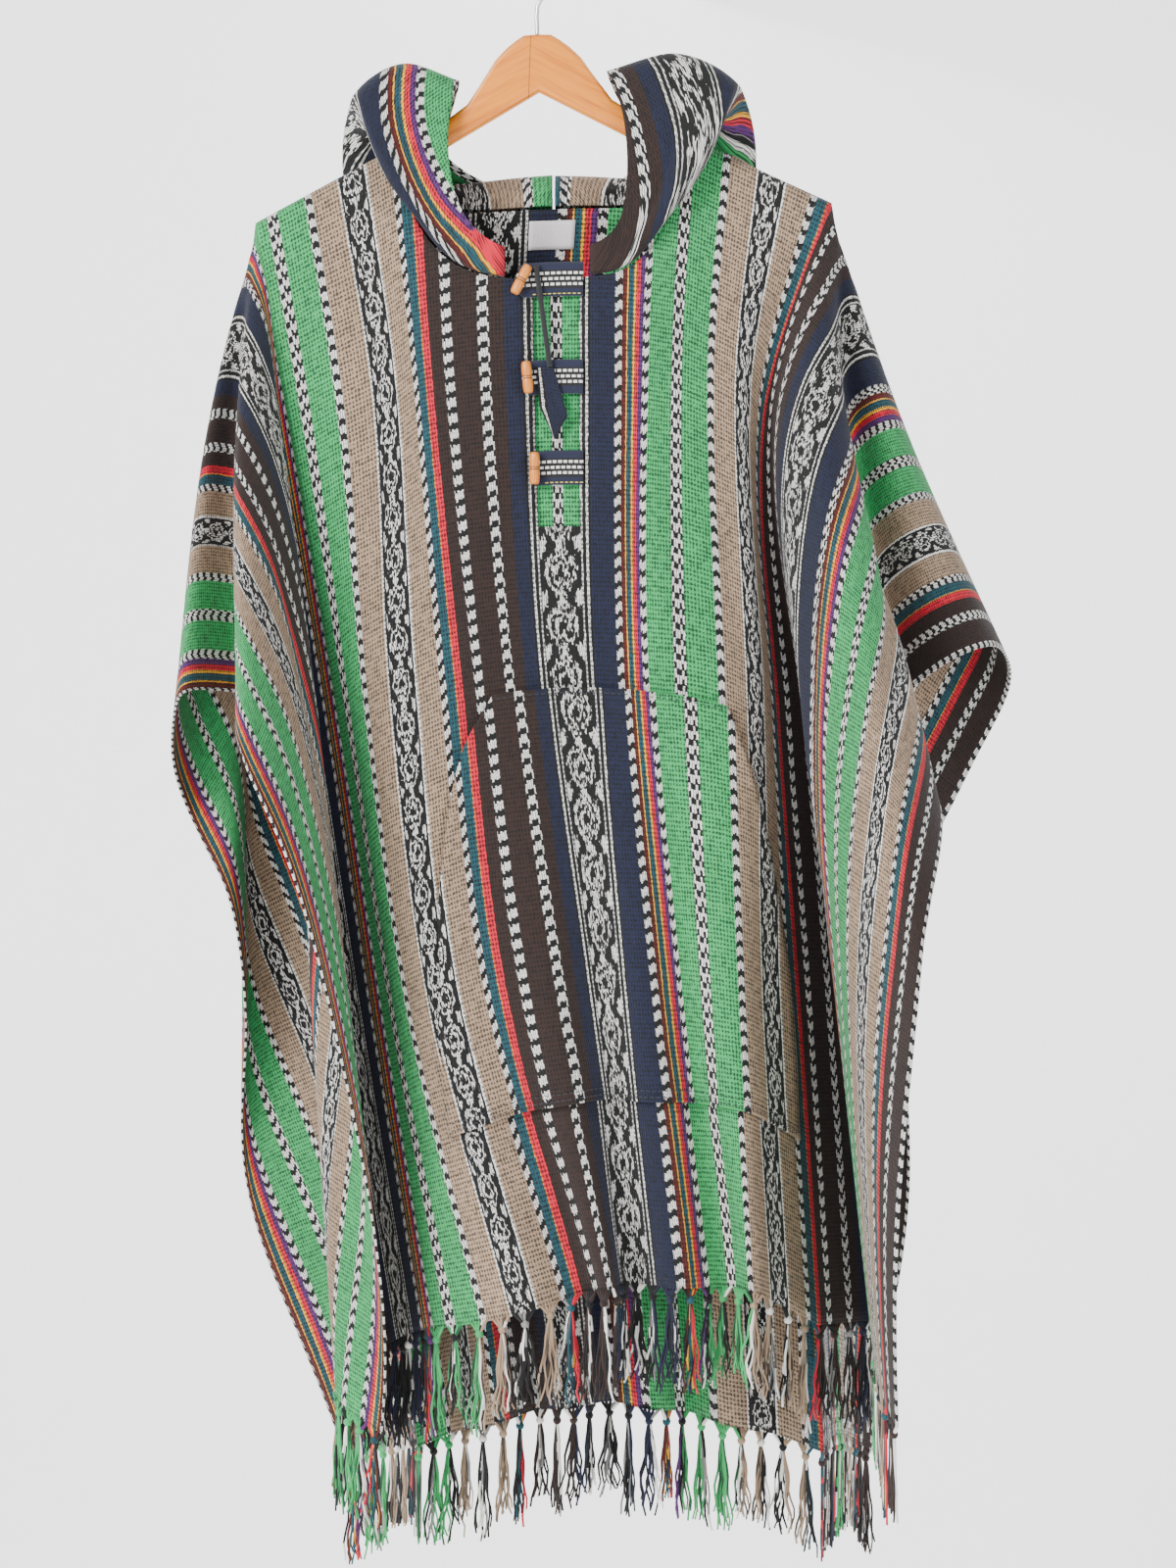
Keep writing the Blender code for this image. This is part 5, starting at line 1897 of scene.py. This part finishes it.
@dataclass
class Fringe:
    """One hem's knotted tassels, each a bunch of the warp's own yarn.

    Attributes:
        way: 1 for the front hem, -1 for the back.
        node: the solid that it stands for.
        length: of the cloth from the shoulder fold to this hem.
        pitch: from one tassel to the next.
        drop: of a tassel below the hem.
        knot_drop: of the knot below the hem.
        knot_radius: of the knot.
        yarn: radius of one strand.
        strands: in a tassel.
        segments: of a strand.
        colour_run: how much of the weave's pattern passes along a strand.
    """

    way: float
    node: str
    length: float
    pitch: float = 0.0215
    drop: float = 0.092
    knot_drop: float = 0.0105
    knot_radius: float = 0.0032
    yarn: float = 0.00115
    strands: int = 10
    segments: int = 9
    colour_run: float = 0.04

    def tube(
        self,
        mesh: bmesh.types.BMesh,
        route: Sequence[Vector],
        widths: Sequence[float],
        thread: Place,
    ) -> None:
        """Add a thin four-sided strand along a route, closed at both ends.

        Args:
            mesh: the mesh that it joins.
            route: its middle line.
            widths: its radius at each point.
            thread: the cloth coordinates that colour it.
        """
        layer = mesh.loops.layers.uv.active
        rings = []
        for k, spot in enumerate(route):
            way = (route[min(k + 1, len(route) - 1)] - route[max(k - 1, 0)]).normalized()
            aside = way.cross(Vector((0.0, 1.0, 0.0))).normalized()
            out = way.cross(aside)
            sides = (aside, out, -aside, -out)
            rings.append([mesh.verts.new(spot + side * widths[k]) for side in sides])
        faces = []
        for low, high in zip(rings, rings[1:]):
            for k in range(4):
                faces.append(mesh.faces.new((low[k], low[(k + 1) % 4], high[(k + 1) % 4], high[k])))
        faces.append(mesh.faces.new(list(reversed(rings[0]))))
        faces.append(mesh.faces.new(rings[-1]))
        for face in faces:
            face.smooth = True
            for loop in face.loops:
                fallen = (route[0] - loop.vert.co).length * self.colour_run
                loop[layer].uv = (thread[0], thread[1] + self.way * fallen)

    def tassel(self, mesh: bmesh.types.BMesh, across: float, chance: random.Random) -> None:
        """Add one tassel: yarn gathered from the hem, its knot and the loose strands below.

        Args:
            mesh: the mesh that it joins.
            across: its place along the hem.
            chance: makes each tassel a little different.
        """
        root = HUNG.place(across, self.way * (self.length - 0.0015))
        aside = HUNG.place(across + 0.002, self.way * self.length)
        aside = (aside - HUNG.place(across - 0.002, self.way * self.length)).normalized()
        knot = root + Vector((chance.uniform(-0.001, 0.001), 0.0, -self.knot_drop))
        hem = self.way * self.length
        gathered = 5
        for k in range(gathered):
            off = (k / (gathered - 1) - 0.5) * self.pitch * 0.8
            start = root + aside * off
            route = [start, start.lerp(knot, 0.5), knot]
            self.tube(mesh, route, [self.yarn, self.yarn * 1.2, self.yarn * 1.3], (across + off, hem))
        rounds = [knot + Vector((0.0, 0.0, self.knot_radius * h)) for h in (1.1, 0.7, 0.0, -0.7, -1.1)]
        self.tube(mesh, rounds, [self.knot_radius * w for w in (0.35, 0.85, 1.1, 0.85, 0.4)], (across, hem))
        length = self.drop * chance.uniform(0.82, 1.04)
        for k in range(self.strands):
            off = (k / (self.strands - 1) - 0.5) * 2
            thread = (across + off * self.pitch * 0.42, hem + self.way * chance.uniform(0.0, 0.02))
            reach = length * chance.uniform(0.84, 1.0) - self.knot_drop
            splay = aside * off * self.pitch * chance.uniform(0.34, 0.66)
            phase = chance.uniform(0.0, 6.28)
            front = chance.uniform(-0.004, 0.004)
            route, widths = [], []
            for s in range(self.segments + 1):
                t = s / self.segments
                wave = 0.0026 * math.sin(phase + t * 13) * t
                spot = knot + splay * (t**0.8) + aside * wave
                spot += Vector((0.0, front * t + 0.8 * wave, -reach * t))
                route.append(spot)
                widths.append(self.yarn * (1.0 - 0.35 * t) * (1 + 0.15 * math.sin(phase + 9 * t)))
            self.tube(mesh, route, widths, thread)

    def build(self, looks: Looks) -> bpy.types.Object:
        """Make every tassel of the hem, joined in one mesh.

        Args:
            looks: every finish.

        Returns:
            The piece.
        """
        chance = random.Random(7 if self.way > 0 else 11)
        mesh = bmesh.new()
        mesh.loops.layers.uv.new("cloth")
        count = int(2 * HALF_WIDTH / self.pitch)
        for k in range(count):
            across = -HALF_WIDTH + (k + 0.5) * 2 * HALF_WIDTH / count
            self.tassel(mesh, across + chance.uniform(-0.0012, 0.0012), chance)
        data = bpy.data.meshes.new(f"{self.node}_yarn")
        mesh.to_mesh(data)
        mesh.free()
        piece = bpy.data.objects.new(f"{self.node}_yarn", data)
        bpy.context.scene.collection.objects.link(piece)
        return finish_piece(piece, looks.striped, "fringe_yarn", self.node)


# The tab's corners in cloth metres: both upper ones, then the right one, the foot and the left one.
TAB_CORNERS = ((-0.0165, 0.0), (-0.0030, 0.0), (0.0085, 0.038), (-0.0030, 0.056), (-0.0150, 0.030))


@dataclass
class ThroatCord:
    """The black cord at the throat and the folded tab on its end.

    Attributes:
        diameter: of the cord.
        start: its upper end, (across, share of the front).
        end: its lower end.
        lift: of its middle off the front's.
        points: of its route.
        tab_top: share of the front at the tab's upper corner.
        tab_lift: of the tab's middle off the front's.
    """

    diameter: float = 0.0044
    start: Place = (-0.016, 0.128)
    end: Place = (-0.006, 0.2155)
    lift: float = 0.0061
    points: int = 16
    tab_top: float = 0.216
    tab_lift: float = 0.0049

    def route(self) -> list[Vector]:
        """Lay the cord's middle line.

        Returns:
            Its points, from the throat down.
        """
        surface = lifted(self.lift)
        made = []
        for k in range(self.points):
            t = k / (self.points - 1)
            across = self.start[0] + t * (self.end[0] - self.start[0])
            along = (self.start[1] + t * (self.end[1] - self.start[1])) * FRONT_LENGTH
            made.append(surface(across, along))
        return made

    def build_tab(self, looks: Looks) -> bpy.types.Object:
        """Make the folded tab, a leaf of striped cloth.

        Args:
            looks: every finish.

        Returns:
            The piece.
        """
        surface = lifted(self.tab_lift)
        start, upper, right, lower, second = (Vector(corner) for corner in TAB_CORNERS)
        steps = 10
        places, threads = [], []
        for r in range(2 * steps + 1):
            t = r / steps
            if t <= 1:
                left = start.lerp(second, t)
                side = upper.lerp(right, t)
            else:
                left = second.lerp(lower, t - 1)
                side = right.lerp(lower, (t - 1) * 0.999)
            row, names = [], []
            for c in range(steps + 1):
                s = c / steps
                spot = left.lerp(side, s)
                row.append(surface(spot.x, self.tab_top * FRONT_LENGTH + spot.y))
                names.append((0.0215 + 0.020 * s, 0.05 * t))
            places.append(row)
            threads.append(names)
        piece = grid_sheet("tab_cloth", places, threads, thickness=0.002)
        return finish_piece(piece, looks.striped, "navy_cloth", "pull_tab")

    def build(self, looks: Looks) -> bpy.types.Object:
        """Args:
            looks: every finish.

        Returns:
            The cord.
        """
        route = self.route()
        data = bpy.data.curves.new("throat_cord", "CURVE")
        data.dimensions = "3D"
        data.bevel_depth = self.diameter / 2
        data.bevel_resolution = 3
        data.use_fill_caps = True
        spline = data.splines.new("POLY")
        spline.points.add(len(route) - 1)
        for point, place in zip(spline.points, route):
            point.co = (*place, 1.0)
        cord = bpy.data.objects.new("throat_cord", data)
        bpy.context.scene.collection.objects.link(cord)
        finish_piece(cord, looks.cord, "black_cord", "pull_cord")
        tab = self.build_tab(looks)
        length = sum((b - a).length for a, b in zip(route, route[1:]))
        tuple(route[0])
        return cord


@dataclass
class NeckLabel:
    """The blank woven label on the inside of the back neck.

    Attributes:
        width: of the label.
        height: of the label.
        drop: of its top below the neck's edge.
        thickness: of the tape.
    """

    width: float = 0.037
    height: float = 0.023
    drop: float = 0.009
    thickness: float = 0.0006

    def build(self, looks: Looks) -> bpy.types.Object:
        """Make the label, just inside the back.

        Args:
            looks: every finish.

        Returns:
            The piece.
        """
        top = neck_depth(0.0, BACK_NECK) + self.drop
        surface = lifted(-0.0016)
        places, threads = [], []
        for r in range(7):
            along = -(top + self.height * r / 6)
            row = [self.width * (k / 10 - 0.5) for k in range(11)]
            places.append([surface(u, along) for u in row])
            threads.append([(u, along) for u in row])
        piece = grid_sheet("neck_label", places, threads, thickness=self.thickness)
        return finish_piece(piece, looks.label, "label_cloth", "label")


HOOK_STEM = ((0.0125, -0.0395), (0.0055, -0.0450), (0.0010, -0.0520), (0.0, -0.0600))


@dataclass
class Hanger:
    """The wooden arms, which keep their solid, and the hook's round wire.

    Attributes:
        wire: radius of the hook's wire.
        radius: of the hook's bend, to the wire's middle.
        crown: height of the wood's top, in the hanger's own frame.
        bend_start: angle of the hook's free end, in degrees from the viewer's right.
        bend_sweep: how far the bend turns, in degrees.
        bend_steps: steps along the bend.
    """

    wire: float = 0.0018
    radius: float = 0.0210
    crown: float = -0.0752
    bend_start: float = 205.0
    bend_sweep: float = 235.0
    bend_steps: int = 40

    def build(self, looks: Looks) -> bpy.types.Object:
        """Dress the arms and make the hook.

        Args:
            looks: every finish.

        Returns:
            The hook's wire.
        """
        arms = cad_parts["hanger_arms"]
        arms.data.materials.clear()
        arms.data.materials.append(looks.beech)
        log.info("hanger_arms dressed")
        centre = self.wire - self.radius
        route = []
        for k in range(self.bend_steps + 1):
            angle = math.radians(self.bend_start - self.bend_sweep * k / self.bend_steps)
            route.append((self.radius * math.cos(angle), centre + self.radius * math.sin(angle)))
        route += [*HOOK_STEM, (0.0, self.crown)]
        data = bpy.data.curves.new("hook_wire", "CURVE")
        data.dimensions = "3D"
        data.bevel_depth = self.wire
        data.bevel_resolution = 4
        data.use_fill_caps = True
        spline = data.splines.new("POLY")
        spline.points.add(len(route) - 1)
        for point, (x, z) in zip(spline.points, route):
            point.co = (*HUNG.tilted(x, z), 1.0)
        curve = bpy.data.objects.new("hook_curve", data)
        bpy.context.scene.collection.objects.link(curve)
        bpy.context.view_layer.update()
        graph = bpy.context.evaluated_depsgraph_get()
        solid = bpy.data.meshes.new_from_object(curve.evaluated_get(graph))
        bpy.data.objects.remove(curve)
        hook = bpy.data.objects.new("hook_wire", solid)
        bpy.context.scene.collection.objects.link(hook)
        hook.data.shade_smooth()
        return finish_piece(hook, looks.steel, "hook_wire", "hanger_hook")


class Lamp(NamedTuple):
    """One soft square light: its name, place, side and power."""

    name: str
    place: tuple[float, float, float]
    size: float
    watts: float


LAMPS = (
    Lamp("key", (-2.3, -2.5, 1.0), 1.5, 215.0),
    Lamp("fill", (2.2, -2.8, -0.2), 2.0, 42.0),
    Lamp("back", (0.4, 1.7, 0.9), 1.6, 35.0),
)


@dataclass
class Studio:
    """A pale sweep, soft lights and the camera at the photograph's angle.

    Attributes:
        pixel: metres that one pixel of the photograph covers at the garment.
        origin_px: the photograph's pixel at x = 0, z = 0.
        width_px: of the photograph.
        height_px: of the photograph.
        distance: of the camera.
        floor: height of the floor.
    """

    pixel: float = 0.0008
    origin_px: Place = (545.0, -59.0)
    width_px: float = 1200.0
    height_px: float = 1600.0
    distance: float = 4.2
    floor: float = -1.75

    def middle(self) -> Place:
        """Find the photograph's middle at the garment.

        Returns:
            Its X and Z.
        """
        x = (self.width_px / 2 - self.origin_px[0]) * self.pixel
        z = -(self.height_px / 2 - self.origin_px[1]) * self.pixel
        return x, z

    def build_camera(self) -> None:
        """Aim a long lens straight at the garment."""
        x, z = self.middle()
        data = bpy.data.cameras.new("camera")
        data.sensor_fit = "VERTICAL"
        data.sensor_height = 36.0
        data.lens = data.sensor_height * self.distance / (self.height_px * self.pixel)
        camera = bpy.data.objects.new("camera", data)
        camera.location = (x, -self.distance, z)
        camera.rotation_euler = (math.pi / 2, 0.0, 0.0)
        bpy.context.scene.collection.objects.link(camera)
        bpy.context.scene.camera = camera

    def build_sweep(self) -> None:
        """Make the pale floor that curves up into a backdrop."""
        profile = [(-6.0, self.floor), (1.4, self.floor)]
        for k in range(1, 9):
            angle = math.pi / 2 * k / 8
            profile.append((1.4 + 0.9 * math.sin(angle), self.floor + 0.9 * (1 - math.cos(angle))))
        profile.append((2.3, 4.5))
        mesh = bmesh.new()
        lines = [[mesh.verts.new((x, y, z)) for y, z in profile] for x in (-7.0, 7.0)]
        for k in range(len(profile) - 1):
            face = mesh.faces.new((lines[0][k], lines[1][k], lines[1][k + 1], lines[0][k + 1]))
            face.smooth = True
        data = bpy.data.meshes.new("sweep")
        mesh.to_mesh(data)
        mesh.free()
        graph = Graph("pale paper")
        fibre = graph.noise(graph.add("ShaderNodeTexCoord").outputs["Object"], 40.0, 3.0)
        tone = graph.ramp(fibre, ((0.3, (0.90, 0.90, 0.90)), (0.7, (0.93, 0.93, 0.93))), "LINEAR")
        graph.feed(graph.shader.inputs["Base Color"], tone)
        graph.shader.inputs["Emission Color"].default_value = (1.0, 1.0, 1.0, 1.0)
        graph.shader.inputs["Emission Strength"].default_value = 0.85
        graph.surface(0.9)
        data.materials.append(graph.look)
        sweep = bpy.data.objects.new("sweep", data)
        bpy.context.scene.collection.objects.link(sweep)
        sweep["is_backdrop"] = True

    def build_light(self, name: str, place: Vector, aim: Vector, size: float, watts: float) -> None:
        """Hang one soft square light.

        Args:
            name: the light's name.
            place: where it hangs.
            aim: what it points at.
            size: of its side.
            watts: its power.
        """
        data = bpy.data.lights.new(name, "AREA")
        data.size = size
        data.energy = watts
        light = bpy.data.objects.new(name, data)
        light.location = place
        light.rotation_euler = (aim - place).to_track_quat("-Z", "Y").to_euler()
        bpy.context.scene.collection.objects.link(light)

    def build(self) -> None:
        """Make the whole studio."""
        self.build_camera()
        self.build_sweep()
        x, z = self.middle()
        aim = Vector((x, 0.0, z))
        for lamp in LAMPS:
            self.build_light(lamp.name, Vector(lamp.place), aim, lamp.size, lamp.watts)
        world = bpy.data.worlds.new("pale room")
        world.use_nodes = True
        world.node_tree.nodes["Background"].inputs["Color"].default_value = (0.95, 0.96, 1.0, 1.0)
        world.node_tree.nodes["Background"].inputs["Strength"].default_value = 0.72
        bpy.context.scene.world = world


@dataclass
class Poncho:
    """The whole garment on its hanger.

    Attributes:
        looks: every finish.
    """

    looks: Looks

    def build_hoods(self) -> list[bpy.types.Object]:
        """Make both halves of the hood.

        Returns:
            The left half and the right one.
        """
        left = HoodHalf(-1, "hood_left", 1.0, 0.038, 0.118, -1.0, 0.322, throat_shift=0.046)
        right = HoodHalf(1, "hood_right", 1.25, 0.0262, 0.276, 1.0, 0.284, throat_shift=0.016)
        return [left.build(self.looks), right.build(self.looks)]

    def build_seams(self, pocket: Pocket, placket: Placket) -> None:
        """Sew the pocket and the straps.

        Args:
            pocket: the pocket's sizes.
            placket: the placket's sizes.
        """
        rows = ((pocket.top + 0.004, 0.0), (pocket.foot - 0.004, 1.0), (pocket.foot - 0.009, 0.97))
        for number, (along, share) in enumerate(rows, start=1):
            left, right = pocket.edges(share)
            steps = 60
            surface = lifted(pocket.lift + 0.0011)
            shares = [0.01 + 0.98 * k / steps for k in range(steps + 1)]
            route = [surface(left + (right - left) * share, along) for share in shares]
            Stitches().build(f"pocket_seam_{number}", route, self.looks.dark_thread, "striped_cloth")
        for number, strap in enumerate(STRAPS, start=1):
            if not strap.gold_seam:
                continue
            surface = lifted(placket.strap_lift + 0.0012)
            along = strap.share * FRONT_LENGTH + placket.strap_half * 0.92
            left = strap.left + 0.012
            route = [surface(left + (placket.strap_right - left) * k / 20, along) for k in range(21)]
            thread = Stitches(length=0.0030, pitch=0.0040, radius=0.0005)
            thread.build(f"strap_seam_{number}", route, self.looks.gold_thread, "navy_cloth")

    def build(self) -> None:
        body = PonchoBody().build(self.looks)
        ThroatCord().build(self.looks)
        pocket, placket = Pocket(), Placket()
        pocket_cloth = pocket.build(self.looks)
        strip, *straps = placket.build(self.looks)
        hoods = self.build_hoods()
        fringes = [
            Fringe(1.0, "front_fringe", FRONT_LENGTH).build(self.looks),
            Fringe(-1.0, "back_fringe", BACK_LENGTH).build(self.looks),
        ]
        self.build_seams(pocket, placket)
        label = NeckLabel().build(self.looks)
        Hanger().build(self.looks)
        for strap in straps:
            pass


def main() -> None:
    """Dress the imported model."""
    logging.basicConfig(level=logging.INFO, format="%(message)s")
    deselect_all()
    Studio().build()
    Poncho(Looks.make()).build()
    boxes = {"cad": cad_bounds, "visual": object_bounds()}
    {name: [list(corner) for corner in box] for name, box in boxes.items()}


if __name__ == "__main__":
    main()
